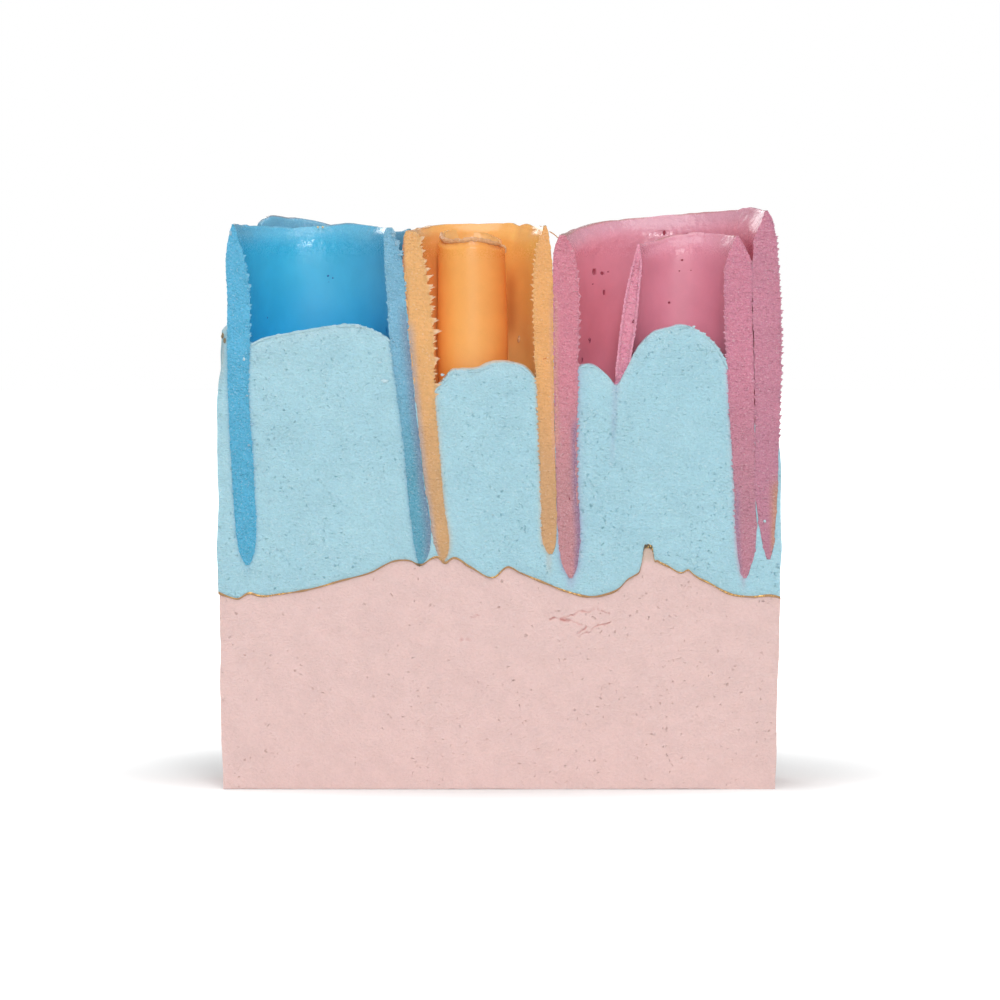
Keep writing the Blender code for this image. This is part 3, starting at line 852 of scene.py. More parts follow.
def wall_place(wall, turn, up, side, seed):
    """Points of a wall: its middle line, moved along its outward normal by side times half its thickness.

    Away from the cut the rim stays thick and leans back a little, and its last hundredth is rounded off
    like a quarter circle."""
    left, left_half = strip(wall["left"], up)
    right, right_half = strip(wall["right"], up)
    x, depth = wall_plan(wall, turn, left, right)
    ahead, behind = (wall_plan(wall, turn + step, left, right) for step in (1e-4, -1e-4))
    tangent = np.column_stack([ahead[0] - behind[0], ahead[1] - behind[1]])
    tangent /= np.linalg.norm(tangent, axis=1)[:, None]
    share = turn * turn * (3 - 2 * turn)
    half = left_half * (1 - share) + right_half * share
    foot_left, foot_right = wall["left"][0][0], wall["right"][0][0]
    foot = foot_left + (foot_right - foot_left) * turn + wall["foot_crown"] * np.sin(np.pi * turn)
    top_left, top_right = (np.mean(wall[end][-1][1:]) for end in ("left", "right"))
    rim = smooth_through(wall_plan(wall, turn, top_left, top_right)[0], wall["rim"])
    z = foot + (rim - foot) * up
    place = np.column_stack([x, depth, z])
    from_cut = smooth_step(depth, 0.3, 4.0)
    rounding = np.sqrt(np.clip(1 - ((up - 0.988) / 0.012) ** 2 * (up > 0.988), 0, 1))
    half = np.maximum(half, RIM_HALF * rounding * from_cut * (up > 0.5))
    wobble = from_cut * (0.25 * noise(place, 9.0, seed) + 0.10 * noise(place, 3.5, seed + 1))
    ragged = np.exp(-np.maximum(depth, 0) / 0.18) * 0.16 * rough(place + 50 * side[:, None], 0.7, seed + 2)
    nicked = up**30 * 0.15 * rough(place, 1.6, seed + 4)
    flare = 0.85 * smooth_step(up, 0.945, 1.02) * from_cut
    offset = side * (half + ragged) + wobble
    return np.column_stack([
        x - tangent[:, 1] * offset,
        FRONT + depth + tangent[:, 0] * offset + flare,
        z + nicked,
    ])  # fmt: skip


def eased(count, ease=0.9):
    """Shares from 0 to 1 that lie closer together towards both ends: s less a sine wave of s."""
    s = np.linspace(0, 1, count + 1)
    return s - ease * np.sin(2 * np.pi * s) / (2 * np.pi)


# %% Colours of the walls

# skin is a wall's colour at its left end, at its back and at its right end; how these differ is painted
# light and shade on the hollow's sides. low is the colour that it turns to low in the hollow, painted
# light and shade, and rim its paler colour along the top, painted light. left and right are the cut
# strips' colours high up, and low down.
TINTS = {
    "blue_roll_wall": {
        "skin": ((58, 168, 212), (62, 184, 220), (112, 182, 216)),
        "low": (38, 164, 214), "rim": (112, 188, 220),
        "left": ((88, 184, 223), (80, 178, 216)), "right": ((124, 185, 214), (92, 165, 190)),
    },
    "blue_roll_outer_wrap": {
        "skin": ((104, 166, 196), (100, 166, 198), (92, 155, 185)),
        "low": (80, 140, 175), "rim": (116, 178, 207),
        "left": ((110, 165, 190), (80, 140, 170)), "right": ((110, 165, 190), (80, 140, 170)),
    },
    "orange_roll_wall": {
        "skin": ((222, 152, 86), (250, 182, 94), (255, 196, 104)),
        "low": (255, 198, 128), "rim": (246, 182, 106),
        "left": ((234, 176, 109), (208, 162, 112)), "right": ((236, 171, 102), (208, 160, 112)),
    },
    "pink_roll_wall": {
        "skin": ((252, 154, 172), (220, 152, 170), (224, 140, 158)),
        "low": (230, 140, 157), "rim": (212, 162, 178),
        "left": ((220, 134, 153), (203, 142, 148)), "right": ((207, 133, 156), (198, 132, 154)),
    },
    "pink_roll_core": {
        "skin": ((230, 148, 168), (221, 143, 162), (218, 136, 156)),
        "low": (214, 134, 152), "rim": (220, 156, 174),
        "left": ((236, 152, 176), (220, 142, 164)), "right": ((215, 134, 158), (197, 133, 151)),
    },
}  # fmt: skip

# Where the knife drew one soap's colour into another's strip, each row is (wall, end, side of the strip,
# where across it the tinge starts, colour, from height, to height). Side 1 is the outer edge, -1 the
# inner.
TINGES = (
    ("blue_roll_wall", "right", 1, -0.3, (122, 142, 168), 32, 68),
    ("orange_roll_wall", "left", 1, 0.2, (178, 160, 156), 32, 66),
    ("orange_roll_wall", "left", 1, 0.75, (165, 95, 80), 67, 79),
    ("pink_roll_wall", "left", -1, 0.2, (146, 122, 155), 30, 52),
    ("pink_roll_wall", "left", 1, 0.4, (215, 155, 140), 48, 70),
    ("orange_roll_wall", "right", 1, 0.4, (222, 160, 130), 46, 70),
    ("pink_roll_wall", "right", 1, 0.0, (205, 150, 120), 33, 43),
    ("pink_roll_core", "right", -1, 0.3, (170, 132, 160), 30, 42),
)


def between(colours, share):
    """A colour that runs through a row of colours as share goes from 0 to 1."""
    rows = np.array([linear(*colour) for colour in colours])
    stops = np.linspace(0, 1, len(rows))
    return np.column_stack([np.interp(share, stops, rows[:, n]) for n in range(3)])


def strip_colour(name, end, z):
    """The colour of a cut strip: one colour high up, turning into another low down."""
    high, low = (np.broadcast_to(linear(*colour), (len(z), 3)) for colour in TINTS[name][end])
    return blend(high, low, smooth_step(-z, -66, -42))


def tinged(name, end, colour, z, side):
    """A cut strip's colours, tinged along its edges by the soaps that lie beside it."""
    for wall, tinged_end, edge, start, tinge, low, high in TINGES:
        if (wall, tinged_end) == (name, end):
            heights = smooth_step(z, low, low + 3) * smooth_step(-z, -high - 3, -high)
            colour = blend(colour, linear(*tinge), 0.85 * smooth_step(side * edge, start, 1.0) * heights)
    return colour


def wall_colours(name, points, turn, up, side, on_cut):
    """A wall's colours: the skin's three colours round the turn, with painted light and shade between its
    sides, the low colour low in the hollow as painted light and shade, a paler band along the rim as
    painted light, brown specks along the rim, and on the cut ends the strip's own colours. The orange
    wall has a painted shadow beside the curl."""
    tints, (x, _, z) = TINTS[name], points.T
    skin = between(tints["skin"], turn)
    # Painted light and shade: towards the low colour further down the hollow.
    skin = blend(skin, linear(*tints["low"]), 0.8 * smooth_step(-z, -76, -60))
    skin = blend(skin, linear(*tints["low"]), 0.12 * (1 + rough(points, 5.0, 31)))
    # Painted light: paler near the rim.
    skin = blend(skin, linear(*tints["rim"]), 0.7 * smooth_step(up, 0.93, 0.99))
    if name == "orange_roll_wall":
        # A painted shadow of the curl, on the wall just to its right.
        curl_shadow = np.exp(-(((x - 1.7) / 0.9) ** 2)) * smooth_step(z, 64, 68) * smooth_step(-z, -77, -73)
        skin = blend(skin, linear(205, 112, 52), 0.6 * curl_shadow)
    patches = smooth_step(noise(points, 4.0, 32), -0.2, 0.5)
    skin = blend(skin, BROWN, 0.6 * smooth_step(up, 0.994, 1.0) * patches)
    ends = [tinged(name, end, strip_colour(name, end, z), z, side) for end in ("left", "right")]
    strips = np.where(turn[:, None] > 0.5, ends[1], ends[0])
    return np.where(on_cut[:, None], strips * (1 + 0.03 * rough(points, 2.0, 33))[:, None], skin)


# %% Make the walls

TURN_CELLS, HEIGHT_CELLS, SIDE_CELLS = 72, 180, 12
SLOT_CELLS = 20


def wall_surface(name, seed, turn_cells, side_cells):
    """A wall's values, points, faces and sides, with this many cells round it and through it."""
    start, end = WALLS[name]["turn"]
    turns = start + (end - start) * eased(turn_cells)
    values, faces, sides = block_sides(turns, eased(HEIGHT_CELLS, 0.5), spread(-1, 1, 2 / side_cells))
    return values, wall_place(WALLS[name], *values, seed), faces, sides


def make_wall(name, seed):
    """One wall as a fine closed surface, with its skin and its cut ends in two materials."""
    (turn, up, side), points, faces, sides = wall_surface(name, seed, TURN_CELLS, SIDE_CELLS)
    on_cut = ((turn == turn.min()) | (turn == turn.max())) & (points[:, 1] < FRONT + 2)
    points[:, 1] += on_cut * (0.03 + 0.07 * rough(points, 1.1, seed + 5))
    mesh = mesh_from(f"{name}_fine", points, faces)
    set_tint(mesh, wall_colours(name, points, turn, up, side, on_cut))
    for material in MATERIALS[WALLS[name]["colour"]]:
        mesh.materials.append(material)
    mesh.polygons.foreach_set("material_index", (sides < 2).astype(np.int32))
    smooth_shaded(mesh, 50)
    print(f"{name}: {len(faces)} faces")
    return put_object(f"{name}_fine", mesh)


def make_slot(name, seed):
    """A coarser cutter for the slot that a wall stands in. Its ends are drawn forward, out of the bar."""
    _, points, faces, _ = wall_surface(name, seed, SLOT_CELLS, 2)
    points[:, 1] -= 1.5 * (points[:, 1] < FRONT + 0.2)
    return put_object(f"{name}_slot", mesh_from(f"{name}_slot", points, faces))


SEEDS = {name: 100 + 20 * n for n, name in enumerate(WALLS)}
walls = {name: make_wall(name, seed) for name, seed in SEEDS.items()}
slots = [make_slot(name, seed) for name, seed in SEEDS.items()]

# %% [markdown]
# Air bubbles burst against the pink walls and left round pits. Each one is a small ball cut out of the
# wall where a straight line from the front first meets it. The blue wall has specks of undissolved
# colour instead, which are flat crumbs that lie in its surface.

# %% Bubbles and crumbs


def crumb(middle, size, seed, squeeze=(1, 1, 1), torn=0.35):
    """A crumb: a ball, made from a cube's points at equal distances, with noise in its radius."""
    (a, b, c), faces, _ = block_sides(*(spread(-1, 1, 0.25),) * 3)
    cube = np.column_stack([a, b, c])
    ball = cube / np.linalg.norm(cube, axis=1)[:, None]
    ball *= (1 + torn * noise(ball + seed, 0.7, seed))[:, None]
    return np.array(middle) + ball * size * np.array(squeeze), faces


def on_wall(name, x, z):
    """The point of a wall's surface that a line along Y, from in front of the bar, meets first."""
    hit, place, _, _ = walls[name].ray_cast(Vector((x * MM, (FRONT - 9) * MM, z * MM)), Vector((0, 1, 0)))
    return np.array(place) / MM if hit else np.array([x, FRONT + 5, z])


# Each bubble is (wall, x, z, radius, how tall it is for its width).
BUBBLES = (
    ("pink_roll_wall", 13.8, 75.1, 0.34, 1.6), ("pink_roll_wall", 15.0, 74.9, 0.26, 1.1),
    ("pink_roll_wall", 15.9, 75.1, 0.12, 1.0), ("pink_roll_wall", 15.3, 72.1, 0.22, 1.9),
    ("pink_roll_wall", 13.6, 73.3, 0.10, 1.0), ("pink_roll_core", 24.8, 70.6, 0.20, 1.0),
    ("pink_roll_core", 26.7, 76.8, 0.20, 0.8), ("pink_roll_core", 26.3, 75.2, 0.12, 1.0),
    ("pink_roll_core", 28.0, 75.3, 0.10, 1.0), ("pink_roll_wall", 24.2, 80.8, 0.24, 1.8),
    ("pink_roll_wall", 27.6, 80.6, 0.18, 1.2),
)  # fmt: skip
BUBBLE_DARK = linear(178, 82, 100)


def cut_out(thing, cutters):
    """Cuts closed solids out of an object, and returns its new mesh."""
    for cutter in cutters:
        modifier = thing.modifiers.new(cutter.name, "BOOLEAN")
        modifier.object = cutter
        modifier.operation = "DIFFERENCE"
        modifier.solver = "MANIFOLD"
    bpy.context.view_layer.update()
    mesh = bpy.data.meshes.new_from_object(thing.evaluated_get(bpy.context.evaluated_depsgraph_get()))
    thing.modifiers.clear()
    thing.data = mesh
    return mesh


for name in ("pink_roll_wall", "pink_roll_core"):
    found = [(on_wall(wall, x, z), radius, tall) for wall, x, z, radius, tall in BUBBLES if wall == name]
    balls = [
        crumb(middle, radius, 700 + n, (1, 1.3, tall), 0.15) for n, (middle, radius, tall) in enumerate(found)
    ]
    cutter = put_object(f"{name}_bubbles", mesh_from(f"{name}_bubbles", *joined(balls)))
    whole_points, whole_colours = points_of(walls[name].data), tints_of(walls[name].data)
    mesh = cut_out(walls[name], [cutter])
    points, colours = points_of(mesh), tints_of(mesh)
    for middle, radius, tall in found:
        near = np.linalg.norm((points - middle) / (1, 1.3, tall), axis=1) < 1.4 * radius
        around = np.linalg.norm(whole_points - middle, axis=1) < 2.0
        gaps = np.linalg.norm(points[near][:, None] - whole_points[around][None], axis=2)
        skin = whole_colours[around][gaps.argmin(axis=1)]
        # Painted shade: each bubble's inside turns darker the deeper it goes.
        deep = smooth_step(points[near][:, 1] - middle[1], 0.0, radius)
        colours[near] = blend(skin, BUBBLE_DARK, deep)
    set_tint(mesh, colours)
    mesh.set_sharp_from_angle(angle=math.radians(40))
    bpy.data.objects.remove(cutter)
    print(f"{name}: {len(balls)} bubbles cut")

# %% [markdown]
# ## The loose curl in the orange roll
#
# The sheet's inner end stands in the orange hollow as a tube that doesn't quite close. It is a bent block
# round a circle, leaning a little, with a pale torn lip where the sheet's edge dried thin.

# %% Orange curl

CURL_TURN = (math.radians(124), math.radians(444))
CURL_MIDDLE = ((36.5, -3.0), (60, -3.85), (72, -3.95), (80, -4.1))
CURL_RADIUS = ((36.5, 2.4), (50, 3.5), (61, 4.25), (80, 4.0))
CURL_DEPTH, CURL_THICKNESS, CURL_FLATTER = 6.3, 0.85, 0.92
CURL_RIM = (
    (-9.0, 81.0), (-8.5, 80.5), (-7.9, 79.9), (-7.0, 79.6), (-4.5, 79.7), (-2.0, 79.6), (-0.5, 79.1),
    (0.8, 78.6),
)  # fmt: skip
CURL_BACK_RIM = ((-9.0, 81.0), (-7.6, 81.0), (-5.3, 81.1), (-2.9, 80.9), (-1.0, 80.3), (0.8, 79.4))


def curl_place(angle, up, side, seed):
    """Points of the curl: a circle whose middle and radius change with height, and a rim that dips to the
    right in front and stands level at the back."""
    back = smooth_step(np.sin(angle), -0.3, 0.5)
    rough_x = CURL_MIDDLE[-1][1] + CURL_RADIUS[-1][1] * np.cos(angle)
    rim = smooth_through(rough_x, CURL_RIM) * (1 - back) + smooth_through(rough_x, CURL_BACK_RIM) * back
    z = CURL_MIDDLE[0][0] + (rim - CURL_MIDDLE[0][0]) * up
    thin = np.minimum(smooth_step(up, 0, 0.15), 0.25 + 0.75 * smooth_step(-up, -1, -0.97))
    place = np.column_stack([np.cos(angle) * 4, np.sin(angle) * 4, z])
    radius = smooth_through(z, CURL_RADIUS) + side * CURL_THICKNESS * thin + 0.12 * noise(place, 5.0, seed)
    radius = radius + 0.15 * smooth_step(up, 0.985, 1.0) * (1 + noise(place, 1.2, seed + 1))
    return np.column_stack([
        smooth_through(z, CURL_MIDDLE) + radius * np.cos(angle),
        FRONT + CURL_DEPTH + CURL_FLATTER * radius * np.sin(angle),
        z + up**40 * 0.15 * rough(place, 1.0, seed + 2),
    ])  # fmt: skip


# Painted light and shade: the curl's colour is lighter at its left and darker at its right.
CURL_COLOURS = ((255, 183, 99), (242, 171, 89), (238, 152, 80))  # at its left, in front and at its right
CURL_SEED = 300


def curl_colours(points, angle, up, side):
    """The curl's colours: painted light at its left and painted shade at its right and sides, painted shade
    low down, painted light inside its mouth, and paler on the lip in front.
    """
    colour = between(CURL_COLOURS, (1 + np.cos(angle)) / 2)
    # Painted shade at the curl's sides and low down.
    colour = blend(colour, ORANGE_DEEP, 0.05 * np.abs(np.cos(angle)) ** 4)
    colour = blend(colour, ORANGE_DEEP, 0.25 * smooth_step(-points[:, 2], -66, -58))
    # Painted light inside the curl's mouth.
    colour = blend(colour, linear(240, 182, 112), smooth_step(-side, 0.0, 0.6) * smooth_step(up, 0.9, 1.0))
    return blend(colour, PALE_LIP, 0.5 * smooth_step(up, 0.990, 0.998) * (np.sin(angle) < 0.2))


(angle, up, side), faces, _ = block_sides(spread(*CURL_TURN, 0.06), eased(150, 0.6), spread(-1, 1, 0.5))
curl_points = curl_place(angle, up, side, CURL_SEED)
curl_mesh = mesh_from("orange_roll_core_fine", curl_points, faces)
set_tint(curl_mesh, curl_colours(curl_points, angle, up, side))
curl_mesh.materials.append(orange_skin)
smooth_shaded(curl_mesh, 50)
curl = put_object("orange_roll_core_fine", curl_mesh)
print(f"curl: {len(faces)} faces")

# %% [markdown]
# The sheet's upper edge dried thin and rolled over, so a pale lip runs along the curl's rim and hangs off
# its right end as a small hook. It is a rod: a disc carried along a path, thinner at both ends.

# %% The curl's lip


def rod(path, radius, seed, uneven=0.25):
    """A rod along a path: a square block whose section is bent to a disc, x times sqrt(1 - y²/2), and
    whose radius shrinks to nothing at its ends."""
    path = np.asarray(path, float)
    (a, b, c), faces, _ = block_sides(np.arange(len(path)), spread(-1, 1, 0.5), spread(-1, 1, 0.5))
    tangent = np.gradient(path, axis=0)
    tangent /= np.linalg.norm(tangent, axis=1)[:, None]
    first = np.cross(tangent, (0.3, 0.4, 0.87))
    first /= np.linalg.norm(first, axis=1)[:, None]
    second = np.cross(tangent, first)
    share = a / (len(path) - 1)
    width = radius * np.sqrt(np.clip(1 - np.abs(2 * share - 1) ** 8, 0.02, 1))
    width = width * (1 + uneven * rough(path[a], 1.2, seed))
    across, upward = b * np.sqrt(1 - c * c / 2), c * np.sqrt(1 - b * b / 2)
    return path[a] + first[a] * (across * width)[:, None] + second[a] * (upward * width)[:, None], faces


def finish_piece(name, surfaces, colours, material):
    """Joins surfaces into one piece of one soap. colours is one colour, or a row for each point."""
    points, faces = joined(surfaces)
    mesh = mesh_from(name, points, faces)
    set_tint(mesh, np.broadcast_to(colours, points.shape) * (1 + 0.06 * rough(points, 0.8, 810))[:, None])
    mesh.materials.append(material)
    smooth_shaded(mesh, 60)
    print(f"{name}: {len(faces)} faces")
    return put_object(name, mesh)


lip_angles = np.radians(spread(164, 344, 2.0))
ones = np.ones(len(lip_angles))
front_lip = curl_place(lip_angles, ones, 0.9 * ones, CURL_SEED)
front_lip[:, 2] += 0.10 * rough(front_lip, 1.8, 313)
hook = front_lip[-1] + np.array([
    (0.25, -0.3, 0.02), (0.55, -0.5, -0.05), (0.8, -0.6, -0.35), (0.86, -0.6, -0.75), (0.7, -0.6, -1.1)
])  # fmt: skip
lip_rod = rod(np.vstack([front_lip, hook]), 0.33, 311, 0.35)
curl_lip = finish_piece("orange_roll_lip", [lip_rod], PALE_LIP, orange_cut)

# %% [markdown]
# ## The light blue pour
#
# This layer fills everything else: it stands behind and beneath the rolls, and it rose inside each one in
# a rounded top. It starts as a slice of the loaf, like the base. The hollows and the sheets are then cut
# out of it with Booleans. The Manifold solver does that quickly, as every cutter is a closed surface.

# %% Hollows above the risen soap

# The risen soap's height on the cut, over x, in each roll.
RISES = {
    "blue_roll_wall": (
        (-38, 63.4), (-36.3, 64.5), (-34.7, 65.3), (-30.3, 66.3), (-24.5, 67.2), (-21.6, 67.4),
        (-19.5, 67.1), (-18, 66.5), (-15.8, 65.2), (-13, 62),
    ),
    "orange_roll_wall": (
        (-12, 56), (-9.6, 57.6), (-9, 58.3), (-7.9, 59.5), (-7.1, 60.5), (-5.7, 60.8), (-3.5, 60.8),
        (-1.3, 61.6), (1.6, 61.8), (3.7, 61.2), (5.2, 59.7), (7, 57.5),
    ),
    "pink_roll_wall": (
        (9, 60), (11.4, 61.3), (13.2, 61.6), (14.6, 60.9), (16.1, 59.5), (16.75, 58.7), (17.1, 58.8),
        (18.2, 60.6), (19.7, 63.5), (21.9, 66), (24.8, 67.1), (26.2, 67.4), (28.4, 66.8), (30.6, 65.3),
        (32.3, 63.1), (33.4, 60.8), (35, 56), (38, 52),
    ),
}  # fmt: skip
RISE_TOP = 96.0  # how high the cutters reach, above every rim
HOLLOW_SHARE = 0.64  # the share of the strips' height where the hollow's width is read


def rise_height(x, depth, points, seed):
    """Height of the soap in a roll: torn on the cut, swelling just behind it, and sinking to the back."""
    place = np.column_stack([x, depth, np.zeros(len(x))])
    torn = 0.16 * rough(place, 0.8, seed) * np.exp(-np.maximum(depth, 0) / 0.5)
    swell = 0.45 * smooth_step(depth, 0.0, 2.0) * (0.6 + 0.8 * noise(place, 9.0, seed + 5))
    sunk = 2.0 * smooth_step(depth, 2.0, 13.0)
    return smooth_through(x, points) + torn + swell - sunk + 0.15 * rough(place, 3.0, seed + 6)


def make_hollow(name, seed):
    """A cutter for the empty space in a roll, from the soap's height up to well above the rims."""
    wall = WALLS[name]
    values, faces, _ = block_sides(spread(-1, 1, 0.015), spread(0, 1, 0.03), spread(0, 1, 0.5))
    across, back, up = values
    depth = -2 + (wall["reach"] + 1.8) * back
    left, _ = strip(wall["left"], np.full(len(back), HOLLOW_SHARE))
    right, _ = strip(wall["right"], np.full(len(back), HOLLOW_SHARE))
    ratio = np.clip(depth / wall["reach"], 0, 0.995)
    chord = (1 - ratio ** wall["squareness"]) ** (1 / wall["squareness"])
    x = (left + right) / 2 + across * chord * (right - left) / 2
    low = rise_height(x, depth, RISES[name], seed)
    points = np.column_stack([x, FRONT + depth, low + (RISE_TOP - low) * up])
    return put_object(f"{name}_hollow", mesh_from(f"{name}_hollow", points, faces))


hollows = [make_hollow(name, 400 + 10 * n) for n, name in enumerate(RISES)]

# %% Pour surface

VALLEY_LINE = ((16.9, 59.0), (16.3, 47.0))  # the seam in the pour where two rolls' fillings met


def pour_top(x, y):
    """Top of the pour outside the rolls: level with soft ripples, and lower at the mould's sides."""
    place = np.column_stack([x, y, np.zeros(len(x))])
    shoulder = 1.7 * np.exp(-np.maximum(HALF_WIDEST - np.abs(x), 0) / 0.9)
    return POUR_LEVEL - 0.6 + 0.35 * rough(place, 11.0, 501) - shoulder


def squeezed_in(points):
    """How far the knife pressed the pour's upper sides inwards near the front, from further up on the
    left."""
    x, y, z = points.T
    from_height = np.where(x > 0, 44, 55)
    upper = smooth_step(z - from_height, 0, 11) * smooth_step(np.abs(x), 30, 40)
    return 0.85 * np.sign(x) * upper * smooth_step(-y, -6, 8)


values, faces, _ = block_sides(across, depths, spread(0, 1, 1.35 * CELL / 38))
plan = plan_places(values)
pour_points = layer_place(values, line_height(*plan) + LINE_HALF * 0.6, pour_top(*plan), 12)
pour_points[:, 0] -= squeezed_in(pour_points)
seam = crease(pour_points[:, 0], pour_points[:, 2], *VALLEY_LINE, 0.6) * (values[1] == 0)
pour_points[:, 1] += 0.35 * seam
pour_mesh = mesh_from("light_blue_pour_block", pour_points, faces)
pour = put_object("light_blue_pour_fine", pour_mesh)
cut_pour = cut_out(pour, [*hollows, *slots, curl])
for cutter in (*hollows, *slots):
    bpy.data.objects.remove(cutter)
print(f"pour: {len(cut_pour.polygons)} faces after the cuts")

# %% [markdown]
# The pour's colours are worked out after the cuts, from where each vertex lies: paler along the torn
# edges of the risen soap, and smeared where the knife drew a sheet's colour into the blue.

# %% Pour colours


def edge_at(name, end, z, edge):
    """x of a strip's outer (1) or inner (2) edge at each height."""
    points = np.array(WALLS[name][end], float)
    return smooth_through(z, points[:, (0, edge)])


def smear(points, name, end, edge, width, low, high):
    """How strongly a strip's colour is smeared beside one of its edges, between two heights."""
    away = np.abs(points[:, 0] - edge_at(name, end, points[:, 2], edge))
    heights = smooth_step(points[:, 2], low, low + 4) * smooth_step(-points[:, 2], -high - 4, -high)
    return np.exp(-away / width) * heights


# Each smear is (wall, end, edge, colour, width, from height, to height).
SMEARS = (
    ("blue_roll_wall", "left", 2, (95, 165, 200), 0.25, 30, 66),
    ("blue_roll_wall", "left", 1, (95, 165, 200), 0.20, 30, 66),
    ("blue_roll_wall", "right", 2, (110, 168, 195), 0.30, 30, 66),
    ("orange_roll_wall", "left", 2, (220, 175, 125), 0.30, 30, 59),
    ("orange_roll_wall", "right", 2, (220, 175, 125), 0.22, 30, 60),
    ("pink_roll_wall", "left", 2, (160, 140, 185), 0.40, 28, 62),
    ("pink_roll_wall", "left", 1, (160, 140, 185), 0.30, 28, 45),
    ("pink_roll_core", "right", 2, (200, 140, 165), 0.22, 28, 62),
)


def in_hollow(x, behind, rise, reach):
    """Whether each place lies inside a roll's U, seen from above: a superellipse a little narrower."""
    left, right = rise[0][0] + 1.5, rise[-1][0] - 1.5
    across = np.abs(2 * x - left - right) / (right - left)
    return across**2.2 + np.maximum(behind / reach, 0) ** 2.2 < 1


def pour_colours(points):
    """The pour's colour at each place: pale torn tops, the roll's skin colour mixed in behind the cut inside
    its hollow, cloudy teal lower down, and smears by the strips."""
    colour = np.tile(POUR_BLUE, (len(points), 1))
    colour = blend(colour, POUR_TEAL, 0.05 * (1 + rough(points, 5.0, 601)))
    behind = points[:, 1] - FRONT
    for name, rise in RISES.items():
        under = smooth_through(points[:, 0], rise) - points[:, 2]
        inside = (points[:, 0] > rise[0][0]) & (points[:, 0] < rise[-1][0])
        edge = np.exp(-np.abs(under) / 1.0) * (0.5 + 0.5 * noise(points, 1.5, 602))
        colour = blend(colour, POUR_PALE, 0.9 * edge * inside)
        in_roll = in_hollow(points[:, 0], behind, rise, WALLS[name]["reach"])
        roll_tinted = smooth_step(behind, 0.4, 1.6) * in_roll * (under < 4)
        colour = blend(colour, linear(*TINTS[name]["skin"][1]), 0.45 * roll_tinted)
    on_cut = np.exp(-np.maximum(behind, 0) / 0.4)
    for name, end, edge, smeared, width, low, high in SMEARS:
        share = 0.75 * smear(points, name, end, edge, width, low, high) * on_cut
        colour = blend(colour, linear(*smeared), share)
    dried = smooth_step(points[:, 2], 57, 64) * smooth_step(-points[:, 0], 39.4, 40.4) * (points[:, 2] < 66.4)
    colour = blend(colour, BROWN, 0.6 * dried * on_cut)
    valley = crease(points[:, 0], points[:, 2], *VALLEY_LINE, 0.7)
    return blend(colour, PURPLE, 0.5 * valley * on_cut)


set_tint(cut_pour, pour_colours(points_of(cut_pour)))
cut_pour.materials.clear()
cut_pour.materials.append(pour_soap)
smooth_shaded(cut_pour, 40)

# %% [markdown]
# ## Burrs, flakes and a thread
#
# The knife dragged soap over the edges of the strips and left it hanging there as ragged teeth. A row of
# teeth is a thin bent block along an edge: it starts a little inside the strip, and its free side reaches
# out by a saw-tooth curve. Each colour's burrs are one piece.

# %% Teeth along an edge

ROOT = 0.35  # how far inside its edge a row of burrs starts, in millimetres


def saw(place, size, seed):
    """Teeth from 0 to 1: cells about this size, each rising by f to the power 1.3 and dropping at once."""
    line = np.column_stack([place, np.zeros(len(place)), np.zeros(len(place))])
    warped = place / size + 0.35 * noise(line, 2.3 * size, seed)
    cell = np.floor(warped)
    part = warped - cell
    tall = 0.6 + 0.4 * corner_values(cell.astype(np.int64), 0, 0, seed)
    return tall * part**1.3 * (1 - smooth_step(part, 0.88, 1.0))


def burrs(path, side, reach, sizes, seed):
    """A row of teeth along a path of (x, z) points on the cut, on its right (1) or left (-1), and how far
    out towards the teeth's tips each point lies."""
    steps = np.linalg.norm(np.diff(path, axis=0), axis=1)
    along = np.concatenate([[0], np.cumsum(steps)])
    tangent = np.gradient(path, axis=0)
    tangent /= np.linalg.norm(tangent, axis=1)[:, None]
    normal = side * np.column_stack([tangent[:, 1], -tangent[:, 0]])
    teeth = 0.65 * saw(along, sizes[0], seed) + 0.35 * saw(along, sizes[1], seed + 1) - 0.08
    fade = smooth_step(along, 0, 1.5) * smooth_step(along[-1] - along, 0, 1.5)
    length = 1.6 * reach * teeth * fade
    (a, b, c), faces, _ = block_sides(np.arange(len(path)), spread(0, 1, 0.2), spread(-1, 1, 2))
    away = -ROOT + b * (length[a] + ROOT)
    place = path[a] + normal[a] * away[:, None]
    lifted = 0.25 * length[a] * b**2 * corner_values(np.floor(along[a]).astype(np.int64), 1, 1, seed)
    buried = 0.14 * np.clip(1 - b / 0.4, 0, 1)
    y = FRONT + 0.08 + buried + 0.08 * c * (1 - 0.7 * b) + lifted
    return (np.column_stack([place[:, 0], y, place[:, 1]]), faces), np.clip(away / 0.6, 0, 1)


def edge_path(name, end, edge, low, high):
    """The (x, z) points of a strip's edge between two heights, a fifteenth of a millimetre apart."""
    z = spread(low, high, 0.07)
    return np.column_stack([edge_at(name, end, z, edge), z])


def rise_path(name, start, end):
    """The (x, z) points of the risen soap's edge on the cut between two places across it."""
    x = spread(start, end, 0.07)
    return np.column_stack([x, smooth_through(x, RISES[name])])


# %% Make the burrs

